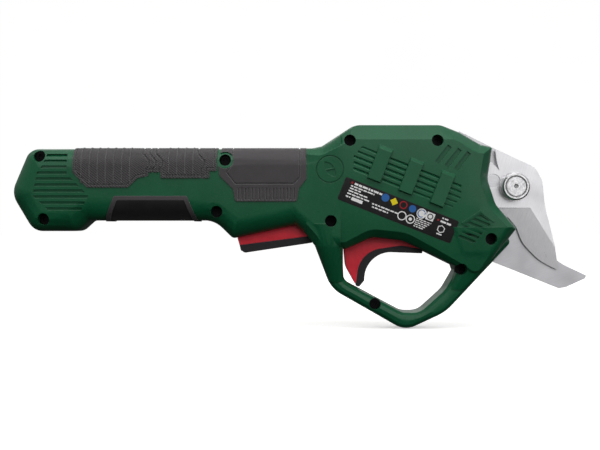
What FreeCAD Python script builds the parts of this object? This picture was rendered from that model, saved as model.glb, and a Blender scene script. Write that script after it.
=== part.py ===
import FreeCAD, Part
import functools
import math
import os

# Battery electric pruner: two clamshell housings, soft grips, bypass blades, a motor with a
# two-stage planetary gearbox and a bevel drive, two cells, controls and fasteners.
# Millimetres. +X points to the blades, +Z up, -Y is the right-hand side of the tool.
# The origin is the centre of the hand grip.

# ---- Driving dimensions ------------------------------------------------------------------

WALL = 2.6
HANDLE_HALF_WIDTH = 21.6
HANDLE_ROUNDING = 12.0
HEAD_HALF_WIDTH = 25.0
GUARD_HALF_WIDTH = 13.0

# Side outlines as (x, z, corner radius), walked clockwise as seen from the right-hand side.
HANDLE_SIDE = [
    (-101.2, 24.0, 8.5), (100, 24.0, 0), (100, -24.8, 0), (68.5, -24.8, 6), (28.6, -33.3, 3.5),
    (16.8, -21.8, 16), (-63.0, -21.8, 3), (-70.4, -28.6, 8), (-99.0, -28.6, 10), (-113.3, -4.6, 14)]
HEAD_SIDE = [
    (71.5, 24.0, 0), (83.4, 24.0, 5), (106, 38.8, 13), (161, 38.8, 12), (172.5, 34.2, 2),
    (185.5, 26.6, 3), (193.6, 24.7, 1.5), (190.6, 4.3, 12), (195.8, -11.7, 12), (209.2, -26.9, 1.5),
    (184, -58, 7), (171, -51, 6), (154.7, -43, 8), (137, -34.5, 20), (117, -32.5, 12),
    (101, -40, 4), (82.5, -40, 5), (71.5, -25.3, 0)]
GUARD_SIDE = [
    (78.5, -31, 3), (100, -25, 3), (180, -25, 3), (208.5, -34, 3), (165, -80.5, 30),
    (139, -92.5, 14), (91.5, -65.5, 20)]
# Blends as (position along the axis, lowest, highest, half width, corner radius).
NECK_SECTIONS = [
    (68.0, -24.7, 23.9, 21.5, 12.0), (77.0, -32.0, 23.9, 22.0, 11.5), (86.0, -39.2, 25.6, 23.1, 10.0),
    (97.0, -39.8, 32.6, 24.3, 7.5)]
REAR_LEG_SECTIONS = [
    (-24.0, 77.5, 99.0, 24.4, 8.0), (-38.0, 81.3, 98.9, 23.0, 8.0), (-50.0, 85.8, 98.9, 18.4, 6.0),
    (-61.0, 89.9, 99.6, 13.6, 4.2)]
FRONT_LEG_SECTIONS = [
    (-26.0, 163.0, 207.0, 23.8, 7.0), (-42.0, 167.6, 196.8, 21.6, 7.0), (-54.0, 171.3, 189.0, 17.6, 6.0),
    (-66.0, 166.0, 178.2, 13.6, 4.6)]
FINGER_HOLE = [
    (98.8, -30, 2), (162, -30, 2), (172, -52, 4), (164, -66, 18), (148, -80.5, 12),
    (137, -80.3, 10), (98.8, -60, 9)]
HEAD_PLAN = [
    (60, 5, 0), (60, -21.3, 0), (74, -21.3, 30), (100, -25.0, 30), (176, -25.0, 40), (220, -20.5, 0),
    (220, 5, 0)]

SCREW_PLACES = [
    (-93.4, 18.8), (-90.6, -21.0), (24.2, 16.3), (18.8, -16.3), (102.9, 28.6), (158.0, 28.6),
    (90.9, -22.2), (191.9, -33.5), (173.8, -52.8), (119.4, -75.0)]
BOSS_R = 4.2
RECESS_R = 3.7
SCREW_HEAD_R = 3.3
SCREW_SHANK_R = 1.5

PIVOT = (209.8, 0.0)
MOVING_BLADE_Y = (-4.0, -0.5)
FIXED_BLADE_Y = (-0.4, 2.6)
OPENING_DEG = 44.0
GRIND_SLOPE = 0.085
SLEEVE_R = 6.0
BOLT_SHANK_R = 4.0
PIN_ORBIT_R = 14.0
PIN_ORBIT_DEG = 165.0
PIN_R = 3.9

PINION_TEETH = 9
SECTOR_TEETH = 54
SECTOR_R_IN = 24.5
SECTOR_R_OUT = 30.5
SECTOR_FROM_DEG = 131.0
SECTOR_TO_DEG = 188.0

GEAR_MODULE = 0.6
SUN_TEETH = 12
PLANET_TEETH = 18
RING_TEETH = 48
PLANETS = 3
STAGE_LENGTH = 9.0
GEARBOX_X = 146.0
GEARBOX_R = 18.0

MOTOR_X = (97.0, 143.0)
MOTOR_R = 17.5

CELL_R = 9.2
CELL_LENGTH = 65.0
CELL_X = -66.0
CELL_LEVELS = (10.4, -8.4)

TRIGGER_PIN = (157.0, -35.5)
TRIGGER_HALF = 6.3
LEVER_PIN = (79.0, -28.0)
LEVER_HALF = 6.8
PIN_RADIUS = 1.5

VENT_SLOPE_DEG = -21.5
BAR_CENTRE = (121.8, 14.0)
BAR_PITCH = 21.1
BAR_HALF_WIDTH = 4.6
BAR_HALF_LENGTH = 11.8
BAR_HEIGHT = 2.0
LABEL_CENTRE = (133.2, -15.4)
LABEL_HALF_LENGTH = 38.2
LABEL_HALF_HEIGHT = 7.5
CROWN_R = 330.0
CROWN_Z = 8.0
CROWN_INSET = 0.06
CHAMFER_Z = 29.1

# ---- Basic shapes ------------------------------------------------------------------------


def vec(x, y, z):
    return FreeCAD.Vector(x, y, z)


def side_place(y):
    return lambda x, z: vec(x, y, z)


def rounded_wire(points, place):
    """Closed outline whose corners are tangent arcs; a radius of 0 keeps a sharp corner."""
    count = len(points)
    corners = []
    for i, (u, v, radius) in enumerate(points):
        corner = place(u, v)
        if radius <= 0:
            corners.append((corner, corner, corner))
            continue
        before = (place(*points[i - 1][:2]) - corner).normalize()
        after = (place(*points[(i + 1) % count][:2]) - corner).normalize()
        half = before.getAngle(after) / 2
        centre = corner + (before + after).normalize() * (radius / math.sin(half))
        reach = radius / math.tan(half)
        middle = centre + (corner - centre).normalize() * radius
        corners.append((corner + before * reach, middle, corner + after * reach))
    edges = []
    for i, (start, middle, end) in enumerate(corners):
        if (start - end).Length > 1e-6:
            edges.append(Part.Arc(start, middle, end).toShape())
        following = corners[(i + 1) % count][0]
        if (end - following).Length > 1e-6:
            edges.append(Part.LineSegment(end, following).toShape())
    return Part.Wire(edges)


def inset(points, depth):
    """The outline moved inward by depth, with its corner radii changed to stay concentric."""
    count = len(points)
    moved = []
    for i, (u, v, radius) in enumerate(points):
        before = vec(u - points[i - 1][0], v - points[i - 1][1], 0).normalize()
        after = vec(points[(i + 1) % count][0] - u, points[(i + 1) % count][1] - v, 0).normalize()
        normal_1 = vec(before.y, -before.x, 0)
        normal_2 = vec(after.y, -after.x, 0)
        shift = (normal_1 + normal_2) * (depth / (1 + normal_1.dot(normal_2)))
        convex = before.x * after.y - before.y * after.x < 0
        if radius > 0:
            radius = max(0.3, radius - depth) if convex else max(0.3, radius + depth)
        moved.append((u + shift.x, v + shift.y, radius))
    return moved


def prism(points, y_from, y_to):
    face = Part.Face(rounded_wire(points, side_place(y_from)))
    return face.extrude(vec(0, y_to - y_from, 0))


def sharp(points):
    return [(x, z, 0) for x, z in points]


def box(x_from, x_to, y_from, y_to, z_from, z_to):
    corner = vec(x_from, y_from, z_from)
    return Part.makeBox(x_to - x_from, y_to - y_from, z_to - z_from, corner)


def rod_x(radius, x_from, x_to, y=0.0, z=0.0):
    return Part.makeCylinder(radius, x_to - x_from, vec(x_from, y, z), vec(1, 0, 0))


def rod_y(radius, y_from, y_to, x, z):
    return Part.makeCylinder(radius, y_to - y_from, vec(x, y_from, z), vec(0, 1, 0))


def rod_z(radius, z_from, z_to, x, y):
    return Part.makeCylinder(radius, z_to - z_from, vec(x, y, z_from), vec(0, 0, 1))


def join(shapes):
    first, rest = shapes[0], shapes[1:]
    return first.fuse(rest).removeSplitter() if rest else first


def mirrored(shape):
    return shape.mirror(vec(0, 0, 0), vec(0, 1, 0))


def turned(shape, degrees, centre, axis):
    copy = shape.copy()
    copy.rotate(centre, axis, degrees)
    return copy


def tube(points, radius):
    """A round wire or hose through hand-placed points."""
    curve = Part.BSplineCurve()
    curve.interpolate([vec(*p) for p in points])
    path = Part.Wire([curve.toShape()])
    start = curve.tangent(curve.FirstParameter)[0]
    ring = Part.Wire([Part.makeCircle(radius, vec(*points[0]), start)])
    return path.makePipeShell([ring], True, False)


def coil_spring(x, y, z_from, z_to, radius, wire_r, turns):
    height = z_to - z_from - 2 * wire_r
    helix = Part.makeHelix(height / turns, height, radius)
    helix.translate(vec(x, y, z_from + wire_r))
    start = helix.Edges[0].valueAt(helix.Edges[0].FirstParameter)
    heading = helix.Edges[0].tangentAt(helix.Edges[0].FirstParameter)
    ring = Part.Wire([Part.makeCircle(wire_r, start, heading)])
    return Part.Wire(helix.Edges).makePipeShell([ring], True, True)


# ---- Housing skin ------------------------------------------------------------------------


def pillow(points, levels):
    """Half body from Y=0 outward on the -Y side; each level is (inset, distance from Y=0)."""
    wires = [rounded_wire(inset(points, depth), side_place(-y)) for depth, y in levels]
    return Part.makeLoft(wires, True, True)


def round_levels(half_width, radius, bands):
    levels = [(0, -0.0)]
    for band in range(bands + 1):
        angle = math.pi / 2 * band / bands
        levels.append((radius * (1 - math.cos(angle)), half_width - radius + radius * math.sin(angle)))
    return levels


def head_levels(grow):
    """The head's side runs out in a wide slanted rim; grow moves the whole skin outward."""
    rim = [(0.0, 15.5), (0.9, 17.6), (6.0, 24.0), (7.4, HEAD_HALF_WIDTH)]
    return [(-grow, 0.0)] + [(depth - grow, y + grow) for depth, y in rim]


def handle_levels(grow):
    levels = round_levels(HANDLE_HALF_WIDTH, HANDLE_ROUNDING, 4)
    return [(depth - grow, y + (grow if y > 0 else 0)) for depth, y in levels]


@functools.lru_cache(maxsize=None)
def handle_skin(grow):
    return pillow(HANDLE_SIDE, handle_levels(grow))


@functools.lru_cache(maxsize=None)
def head_skin(grow):
    plan = [(x, y - grow if y < 0 else y, radius) for x, y, radius in HEAD_PLAN]
    plan_wire = rounded_wire(plan, lambda x, y: vec(x, y, -120))
    limit = Part.Face(plan_wire).extrude(vec(0, 0, 240))
    return pillow(HEAD_SIDE, head_levels(grow)).common(limit).common(head_crown(grow))


def head_crown(grow):
    """Space inside the head's gently crowned side face and its wide upper chamfer."""
    places = []
    for z in (CHAMFER_Z, -10.0, -60.0):
        places.append(vec(60, CROWN_INSET - HEAD_HALF_WIDTH + (z - CROWN_Z) ** 2 / (2 * CROWN_R), z))
    crown = Part.Arc(*places).toShape()
    rest = [places[2], vec(60, 6, -60), vec(60, 6, 42), vec(60, -12.6, 42), places[0]]
    lines = [Part.LineSegment(a, b).toShape() for a, b in zip(rest, rest[1:])]
    solid = Part.Face(Part.Wire([crown] + lines)).extrude(vec(180, 0, 0))
    solid.translate(vec(0, -grow, 0.6 * grow))
    return solid


def half_section(low, high, half_width, radius, place):
    """Half of a rounded bar's cross-section; place turns (across, outward) into a point."""
    corners = [(low, 1.0, 0), (low, -half_width, radius), (high, -half_width, radius), (high, 1.0, 0)]
    return rounded_wire(corners, place)


def blend_skin(sections, grow, along_x):
    """Ruled blend through rounded sections, standing along X or along Z."""
    wires = []
    for position, low, high, half_width, radius in sections:
        def place(across, outward, position=position):
            return vec(position, outward, across) if along_x else vec(across, outward, position)

        wires.append(half_section(low - grow, high + grow, half_width + grow, radius + grow, place))
    return Part.makeLoft(wires, True, True)


@functools.lru_cache(maxsize=None)
def blends(grow):
    below = box(0, 250, -40, 0, -120, 60)
    solids = [blend_skin(NECK_SECTIONS, grow, True), blend_skin(REAR_LEG_SECTIONS, grow, False),
              blend_skin(FRONT_LEG_SECTIONS, grow, False)]
    return [solid.common(below) for solid in solids]


@functools.lru_cache(maxsize=None)
def guard_skin(grow):
    outer_levels = round_levels(GUARD_HALF_WIDTH + grow, 4.5, 3)
    outer = pillow(GUARD_SIDE, [(depth - grow, y) for depth, y in outer_levels])
    hole_levels = [(grow - depth, y) for depth, y in outer_levels]
    hole = pillow(FINGER_HOLE, hole_levels + [(hole_levels[-1][0], 40)])
    return outer.cut(hole)


# ---- Housing details ---------------------------------------------------------------------


def on_slope(centre, u, w):
    """A place in the head's slanted frame: u runs down towards the blades, w points up."""
    angle = math.radians(VENT_SLOPE_DEG)
    x = centre[0] + u * math.cos(angle) - w * math.sin(angle)
    z = centre[1] + u * math.sin(angle) + w * math.cos(angle)
    return x, z


def slanted_slab(centre, u_from, u_to, w_from, w_to, y_from, y_to, radius=0.0):
    corners = [(u_from, w_from), (u_from, w_to), (u_to, w_to), (u_to, w_from)]
    points = [on_slope(centre, u, w) + (radius,) for u, w in corners]
    return prism(points, y_from, y_to)


@functools.lru_cache(maxsize=None)
def skin_band(skin, grow_out, grow_in):
    """The layer of the skin between two depths."""
    return skin(grow_out).cut(skin(grow_in))


def raised_bar(index):
    centre = on_slope(BAR_CENTRE, BAR_PITCH * index, 0)
    base = [(-1, -1), (-1, 1), (1, 1), (1, -1)]
    lower = [on_slope(centre, u * BAR_HALF_WIDTH, w * BAR_HALF_LENGTH) for u, w in base]
    end_slope = 3.2
    upper = []
    for u, w in base:
        length = BAR_HALF_LENGTH - (end_slope if w > 0 else 0.6)
        upper.append(on_slope(centre, u * (BAR_HALF_WIDTH - 0.4), w * length))
    bottom = rounded_wire(sharp(lower), side_place(-HEAD_HALF_WIDTH + 1.3))
    top = rounded_wire(sharp(upper), side_place(-HEAD_HALF_WIDTH - BAR_HEIGHT))
    return Part.makeLoft([bottom, top], True, True)


def louvre_grooves():
    grooves = []
    for row in range(5):
        w = -9.2 + 3.55 * row
        deep = -HEAD_HALF_WIDTH + 1.2
        points = [(w - 1.5, -HEAD_HALF_WIDTH - 0.2), (w + 0.9, -HEAD_HALF_WIDTH - 0.2), (w + 0.9, deep),
                  (w + 0.5, deep)]
        left = -17.0 + 1.2 * abs(row - 2)
        corners = []
        for offset, y in points:
            x, z = on_slope(BAR_CENTRE, left, offset)
            corners.append(vec(x, y, z))
        face = Part.Face(Part.makePolygon(corners + corners[:1]))
        end_x, end_z = on_slope((0, 0), 55.0 - 1.2 * abs(row - 2) - left, 0)
        grooves.append(face.extrude(vec(end_x, 0, end_z)))
    return grooves


def vent_slots():
    slots = []
    for top, bottom in (((165.5, 24.8), (157.3, 14.4)), ((171.8, 22.8), (163.4, 12.1)),
                        ((177.6, 20.7), (169.3, 10.0))):
        along = vec(bottom[0] - top[0], 0, bottom[1] - top[1])
        across = vec(-along.z, 0, along.x).normalize() * 1.4
        start = vec(top[0], -HEAD_HALF_WIDTH - 1, top[1])
        corners = [start + across, start + along + across, start + along - across, start - across]
        face = Part.Face(Part.makePolygon(corners + corners[:1]))
        slots.append(face.extrude(vec(0, 2.4, 0)))
    return slots


def front_fins(layer):
    pocket = sharp([(169.8, -34.7), (175.2, -24.4), (185.0, -18.2), (192.0, -23.2), (182.9, -34.1),
                    (177.9, -38.5)])
    field = prism(pocket, -HEAD_HALF_WIDTH - 1, -10).common(layer)
    fins = []
    for row in range(6):
        w = -8.6 + 3.3 * row
        fins.append(slanted_slab((181.0, -27.0), -14, 14, w, w + 1.7, -HEAD_HALF_WIDTH - 1, -10))
    return [field.common(fin) for fin in fins]


def fin_bead():
    """Raised chevron over the front fins."""
    outline = sharp([(173.0, -23.2), (185.0, -15.2), (194.0, -22.0), (193.2, -23.2), (185.0, -17.0),
                     (173.8, -24.4)])
    return prism(outline, -30, -18).common(skin_band(head_skin, 0.5, -1.0))


def rear_grille(layer):
    panel = sharp([(-88.6, 20.2), (-75.7, 20.2), (-75.7, 7.7), (-62.1, -6.4), (-67.1, -16.0),
                   (-86.6, -16.0), (-97.0, -6.4), (-94.5, 8.1), (-90.6, 13.2)])
    field = prism(panel, -HANDLE_HALF_WIDTH - 1, -9).common(layer)
    grooves = []
    for row in range(10):
        z = -14.6 + 3.78 * row
        grooves.append(field.common(box(-100, -60, -HANDLE_HALF_WIDTH - 1, -9, z - 0.85, z + 0.85)))
    return grooves


def emblem_grooves():
    """A plain ring with a simple leaf, pressed lightly into the side of the neck."""
    x, z = 90.3, 10.4
    layer = skin_band(head_skin, 0.5, -0.5)
    ring = rod_y(8.8, -28, -18, x, z).cut(rod_y(8.1, -29, -17, x, z))
    leaf = rod_y(7.6, -28, -18, x - 4.0, z - 2.8).common(rod_y(7.6, -28, -18, x + 4.0, z + 2.8))
    vein = slanted_slab((x, z), -9, 9, -0.35, 0.35, -29, -17)
    vein = turned(vein, -33, vec(x, 0, z), vec(0, 1, 0))
    return [ring.common(layer), leaf.cut(vein).common(layer)]


def screw_seat(place):
    """Depth of the screw head below the parting plane: the guard is thinner than the head."""
    return 7.0 if place in SCREW_PLACES[8:] else 13.0


def right_bosses():
    bosses = []
    for place in SCREW_PLACES:
        seat = screw_seat(place)
        bosses.append(rod_y(BOSS_R + 1.5, -HEAD_HALF_WIDTH, -seat + 1.6, *place))
        bosses.append(rod_y(BOSS_R, -seat, 0, *place))
    return bosses


def right_boss_cuts():
    cuts = []
    for place in SCREW_PLACES:
        cuts.append(rod_y(RECESS_R, -HEAD_HALF_WIDTH - 5, -screw_seat(place), *place))
        cuts.append(rod_y(SCREW_SHANK_R + 0.2, -HEAD_HALF_WIDTH, 1, *place))
    return cuts


def support_ribs(cavity):
    """Ribs that cradle the cells, the motor and the gearbox, with room for wires above."""
    ribs = []
    cells = join([rod_x(CELL_R + 0.1, -80, 10, 0, z) for z in CELL_LEVELS]
                 + [box(-80, 10, -5, 5, *reversed(CELL_LEVELS)), box(-80, 10, -11.8, 1, -1.6, 3.6)])
    for x in (-50.0, -18.0):
        ribs.append(box(x - 0.9, x + 0.9, -25, 0, -30, 30).common(cavity).cut(cells))
    motor = rod_x(MOTOR_R + 0.05, 80, 145)
    for x in (110.0, 138.0):
        ribs.append(box(x - 1, x + 1, -25, 0, -24, 40).common(cavity).cut(motor))
    gearbox = rod_x(GEARBOX_R + 0.05, 140, 175)
    for x in (150.0, 161.5):
        ribs.append(box(x - 1, x + 1, -25, 0, -28, 40).common(cavity).cut(gearbox))
    wire_way = box(100, 170, -25, -9, -30, -16)
    switch_room = box(128, 152, -9, 1, -30, -19)
    return [rib.cut([wire_way, switch_room]) for rib in ribs]


TRIGGER_SLOT = sharp([(97.9, -64), (97.9, -23), (163.5, -23), (163.5, -40.5), (152.5, -46), (120, -75)])
LEVER_SLOT = sharp([(28.9, -34.5), (33, -18), (86, -18), (86, -34), (81.2, -39), (28.9, -46)])


@functools.lru_cache(maxsize=None)
def housing_half():
    outer = handle_skin(0).fuse([head_skin(0), guard_skin(0)] + blends(0))
    cavity = handle_skin(-WALL).fuse([head_skin(-WALL), guard_skin(-WALL)] + blends(-WALL))
    bosses = [boss.common(outer) for boss in right_bosses()]
    pin_posts = [rod_y(3.4, -HANDLE_HALF_WIDTH, -7.2, *TRIGGER_PIN).common(outer),
                 rod_y(3.2, -HANDLE_HALF_WIDTH + 2, -7.2, *LEVER_PIN).common(outer)]
    seats = [box(114, 122, -23, 0, -21.8, -20.3), box(36, 44, -20, 0, -15.5, -14.0)]
    half = outer.cut(cavity).fuse(support_ribs(cavity))
    half = half.cut([prism(TRIGGER_SLOT, -7.0, 1), prism(LEVER_SLOT, -7.2, 1)])
    half = half.fuse(bosses + pin_posts + seats)
    bars = [raised_bar(index) for index in range(3)]
    details = louvre_grooves() + vent_slots() + emblem_grooves()
    details += rear_grille(skin_band(handle_skin, 0.5, -0.9))
    details += front_fins(skin_band(head_skin, 0.5, -1.1))
    half = half.cut(details).fuse(bars + [fin_bead()])
    half = half.cut(grip_pockets())
    half = half.cut([rod_y(PIN_RADIUS, -12, 0, *TRIGGER_PIN), rod_y(PIN_RADIUS, -12, 0, *LEVER_PIN)])
    return half.cut(box(-86.2, -81.8, -5, 1, -30, -24))


def right_housing():
    half = housing_half().cut(right_boss_cuts())
    blade_slot = box(170, 232, -4.6, 1, -50.5, 45)
    keep_boss = rod_y(BOSS_R, -4.6, 0, *SCREW_PLACES[7]).cut(rod_y(SCREW_SHANK_R + 0.2, -5, 1, *SCREW_PLACES[7]))
    return half.cut([blade_slot, label_solid()]).fuse(keep_boss)


def left_housing():
    half = mirrored(housing_half())
    pilots = [rod_y(SCREW_SHANK_R + 0.02, -1, 9 if place in SCREW_PLACES[8:] else 14, *place)
              for place in SCREW_PLACES]
    blade_slot = box(170, 232, -1, 3.2, -50.5, 45)
    sector_way = box(176, 232, -1, 11.2, -31, 25)
    boss = rod_y(BOSS_R, 0, 3.2, *SCREW_PLACES[7]).cut(rod_y(SCREW_SHANK_R + 0.02, -1, 5, *SCREW_PLACES[7]))
    return half.cut(pilots + [blade_slot, sector_way]).fuse(boss)


def label_solid():
    length, height = LABEL_HALF_LENGTH, LABEL_HALF_HEIGHT
    outline = slanted_slab(LABEL_CENTRE, -length, length, -height, height, -27, -20, 1.2)
    return outline.common(skin_band(head_skin, 0.12, -0.25))


# ---- Soft grips --------------------------------------------------------------------------

GRIP_PROUD = 0.6
GRIP_DEPTH = 1.1
RIB_HEIGHT = 0.3
RIB_WIDTH = 0.5
RIB_PITCH = 5.1
UPPER_GRIP = [
    (-71.7, 30, 0), (19.2, 30, 0), (19.2, 9.3, 1), (14.4, 9.3, 0), (14.4, 4.8, 1), (-16.5, 4.8, 1),
    (-16.5, 8.5, 0), (-24.0, 8.5, 0), (-24.0, 6.2, 1), (-30.7, 5.0, 1), (-36.9, -1.0, 1),
    (-62.7, -1.0, 1.5), (-71.7, 8.7, 1.5)]
FRONT_GRIP = [
    (22.4, 30, 0), (75.6, 30, 0), (75.6, 4.3, 2), (70.9, -1.4, 1), (69.4, -9.8, 1.5), (30.7, -9.8, 1.5),
    (29.3, -2.1, 2), (20.6, 6.5, 2), (20.3, 12, 1)]
FRONT_PANEL = [
    (28.4, 30, 0), (71.7, 30, 0), (71.7, 5.3, 1), (67.8, 1.0, 1), (30.6, 1.0, 1), (24.6, 8.6, 1),
    (28.4, 13.5, 1)]
PALM_PAD = [(-55.8, -30, 0), (-45.8, -6.4, 1.5), (0.2, -6.4, 1.5), (9.8, -30, 0)]


def grip_outlines():
    screw_ring = rod_y(5.4, -30, 1, *SCREW_PLACES[2])
    shapes = [prism(outline, -30, 0) for outline in (UPPER_GRIP, FRONT_GRIP, PALM_PAD)]
    return [shape.cut(screw_ring) for shape in shapes]


def grip_pockets():
    core = handle_skin(-GRIP_DEPTH)
    return [shape.cut(core) for shape in grip_outlines()]


def zigzag(x, width):
    """A jogged vertical groove across the upper grip."""
    left = [(x, 30), (x, 20.5), (x + 4.2, 15.6), (x + 4.2, 12.4), (x + 2.4, 10.6), (x + 2.4, -3)]
    right = [(u + width, v + (0.4 if 15 < v < 30 else 0)) for u, v in reversed(left)]
    return prism(sharp(left + right), -30, 0)


def grips():
    layer = skin_band(handle_skin, GRIP_PROUD, -GRIP_DEPTH)
    upper, front, palm = [shape.common(layer) for shape in grip_outlines()]
    shallow = skin_band(handle_skin, GRIP_PROUD + 0.5, 0.1)
    frame_line = prism(inset(UPPER_GRIP, 1.5), -30, 0).cut(prism(inset(UPPER_GRIP, 2.1), -30, 0))
    lines = [zigzag(x, 1.5) for x in (-28.6, -24.4, -20.2, 6.2)] + [frame_line]
    upper = upper.cut([line.common(shallow) for line in lines])
    crest = skin_band(handle_skin, GRIP_PROUD + RIB_HEIGHT, 0.1)
    ribs = []
    for x in [-66.8 + RIB_PITCH * step for step in range(7)] + [-11.6, -6.5, -1.4, 3.7]:
        ribs.append(box(x, x + RIB_WIDTH, -30, 0, 1.6 if x < -30 else 7.4, 30).common(crest))
    upper = upper.fuse(ribs)
    panel = prism(FRONT_PANEL, -30, 0)
    groove = panel.cut(prism(inset(FRONT_PANEL, 0.9), -30, 0))
    ribs = [box(x, x + 1.0, -30, 0, -8.9, -1.3) for x in [32.2 + 2.2 * step for step in range(17)]]
    front = front.cut([cut.common(shallow) for cut in [groove] + ribs])
    border = prism(inset(PALM_PAD, 2.6), -30, 0)
    palm = palm.cut(border.common(shallow))
    return {"upper_grip": upper, "front_grip": front, "palm_pad": palm}


# ---- Blades and their drive --------------------------------------------------------------


def pivot_point(radius, degrees):
    angle = math.radians(degrees)
    return PIVOT[0] + radius * math.cos(angle), PIVOT[1] + radius * math.sin(angle)


def arc_edge(radius, start_deg, end_deg, y):
    middle_deg = (start_deg + end_deg) / 2
    places = [vec(x, y, z) for x, z in (pivot_point(radius, d) for d in (start_deg, middle_deg, end_deg))]
    return Part.Arc(*places).toShape()


def disc_sector(radius, start_deg, end_deg, y_from, y_to):
    centre = vec(PIVOT[0], y_from, PIVOT[1])
    arc = arc_edge(radius, start_deg, end_deg, y_from)
    first = Part.LineSegment(centre, arc.Vertexes[0].Point).toShape()
    last = Part.LineSegment(arc.Vertexes[-1].Point, centre).toShape()
    return Part.Face(Part.Wire([first, arc, last])).extrude(vec(0, y_to - y_from, 0))


def moving_blade():
    front, back = MOVING_BLADE_Y
    blade_side = [
        (197.5, 24.6, 1.0), (223.6, 12.4, 8), (228.2, 3.5, 6), (229.6, -12.0, 60), (236.2, -38.0, 30),
        (238.6, -54.2, 0.8), (226.0, -47.6, 30), (215.5, -36.5, 20), (211.5, -26.0, 6), (203.0, -16.0, 0),
        (203.0, 0, 0), (198.6, 17.0, 1.0)]
    blade = prism(blade_side, front, back)
    hub = disc_sector(22.0, 132, 258, front, back)
    blade = join([blade, hub])
    grind_start = vec(220.4, 0, -13.6)
    grind_dir = vec(0.529, 0, -0.849)
    grind_normal = vec(-0.849, 0, -0.529)
    corners = []
    for across, y in ((0.0, front), (0.0, front - 6), (40.0, front - 6), (40.0, front + GRIND_SLOPE * 40)):
        corners.append(grind_start + grind_normal * across - grind_dir * 60 + vec(0, y, 0))
    wedge = Part.Face(Part.makePolygon(corners + corners[:1])).extrude(grind_dir * 130)
    wedge = wedge.common(box(180, 250, front - 2, back, -70, -13.6))
    pin_x, pin_z = pivot_point(PIN_ORBIT_R, PIN_ORBIT_DEG)
    holes = [rod_y(SLEEVE_R + 0.03, front - 1, back + 1, *PIVOT),
             rod_y(PIN_R + 0.8, front - 1, front + 0.7, pin_x, pin_z),
             rod_y(PIN_R, front - 1, back + 1, pin_x, pin_z)]
    return blade.cut([wedge] + holes)


def fixed_blade():
    front, back = FIXED_BLADE_Y
    plate_side = [
        (174.6, 36.4, 0.5), (222.4, 12.8, 12), (228.6, 0.0, 12), (221.8, -16.0, 10), (225.6, -36.0, 22),
        (240.5, -49.6, 30), (257.4, -57.4, 0.6), (256.6, -59.4, 0.6), (244.2, -65.0, 4),
        (239.8, -65.8, 2), (180.5, -42.0, 4), (180.5, -9.6, 2), (189.4, -9.6, 1), (189.4, 9.6, 1),
        (174.6, 9.6, 2)]
    plate = prism(plate_side, front, back)
    start, end = PIN_ORBIT_DEG, PIN_ORBIT_DEG + OPENING_DEG
    slot_outer = disc_sector(PIN_ORBIT_R + PIN_R + 0.4, start, end, front - 1, back + 1)
    slot_inner = disc_sector(PIN_ORBIT_R - PIN_R - 0.4, start - 20, end + 20, front - 2, back + 2)
    ends = [rod_y(PIN_R + 0.4, front - 1, back + 1, *pivot_point(PIN_ORBIT_R, d)) for d in (start, end)]
    slot = join([slot_outer.cut(slot_inner)] + ends)
    holes = [slot, rod_y(SLEEVE_R + 0.03, front - 1, back + 1, *PIVOT),
             rod_y(BOSS_R + 0.05, front - 1, back + 1, *SCREW_PLACES[7])]
    return plate.cut(holes)


def radial_tooth(degrees):
    """One bevel tooth of the sector: a tapered block whose size grows with the radius."""
    rings = []
    for radius in (SECTOR_R_IN, SECTOR_R_OUT):
        module = 2 * radius / SECTOR_TEETH
        pitch_y = radius * PINION_TEETH / SECTOR_TEETH
        tip_y = pitch_y - 0.8 * module
        root_y = pitch_y + 1.35 * module
        places = []
        for y, half in ((tip_y, 0.24), (root_y, 1.0)):
            for side in (-1, 1):
                angle = math.radians(degrees) + side * half * module / radius
                x = PIVOT[0] + radius * math.cos(angle)
                z = PIVOT[1] + radius * math.sin(angle)
                places.append(vec(x, y, z))
        ring = [places[0], places[1], places[3], places[2]]
        rings.append(Part.makePolygon(ring + ring[:1]))
    return Part.makeLoft(rings, True, True)


def gear_sector():
    def face_y(radius):
        return radius * (PINION_TEETH / SECTOR_TEETH + 2 * 1.25 / SECTOR_TEETH)
    section = [(8.0, 3.0), (11.5, 3.0), (11.5, 3.4), (23.6, 3.4), (23.6, face_y(SECTOR_R_IN)),
               (SECTOR_R_IN, face_y(SECTOR_R_IN)), (SECTOR_R_OUT, face_y(SECTOR_R_OUT)),
               (SECTOR_R_OUT, 9.8), (8.0, 9.8)]
    first = math.radians(SECTOR_FROM_DEG)
    corners = [vec(PIVOT[0] + r * math.cos(first), y, PIVOT[1] + r * math.sin(first)) for r, y in section]
    face = Part.Face(Part.makePolygon(corners + corners[:1]))
    sweep = SECTOR_TO_DEG - SECTOR_FROM_DEG
    web = face.revolve(vec(PIVOT[0], 0, PIVOT[1]), vec(0, -1, 0), sweep)
    hub = rod_y(11.5, 3.0, 9.8, *PIVOT)
    pitch = 360 / SECTOR_TEETH
    teeth = []
    for step in range(8):
        degrees = 180 + pitch / 2 - pitch * step
        if SECTOR_FROM_DEG + 2 < degrees < SECTOR_TO_DEG - 2:
            teeth.append(radial_tooth(degrees))
    sector = join([web, hub] + teeth)
    pin_place = pivot_point(PIN_ORBIT_R, PIN_ORBIT_DEG)
    return sector.cut([rod_y(SLEEVE_R + 0.03, 0, 12, *PIVOT), rod_y(PIN_R, 0, 12, *pin_place)])


def pinion_ring(radius, x):
    """Outline of the bevel pinion where it works at the given sector radius."""
    module = 2 * radius / SECTOR_TEETH
    pitch_r = module * PINION_TEETH / 2
    places = []
    for tooth in range(PINION_TEETH):
        centre = 2 * math.pi * tooth / PINION_TEETH
        root_r, tip_r = pitch_r - 1.15 * module, pitch_r + 0.75 * module
        places += [(root_r, centre - 0.26), (tip_r, centre - 0.08), (tip_r, centre + 0.08),
                   (root_r, centre + 0.26)]
    corners = [vec(x, r * math.cos(a), r * math.sin(a)) for r, a in places]
    return Part.makePolygon(corners + corners[:1])


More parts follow.
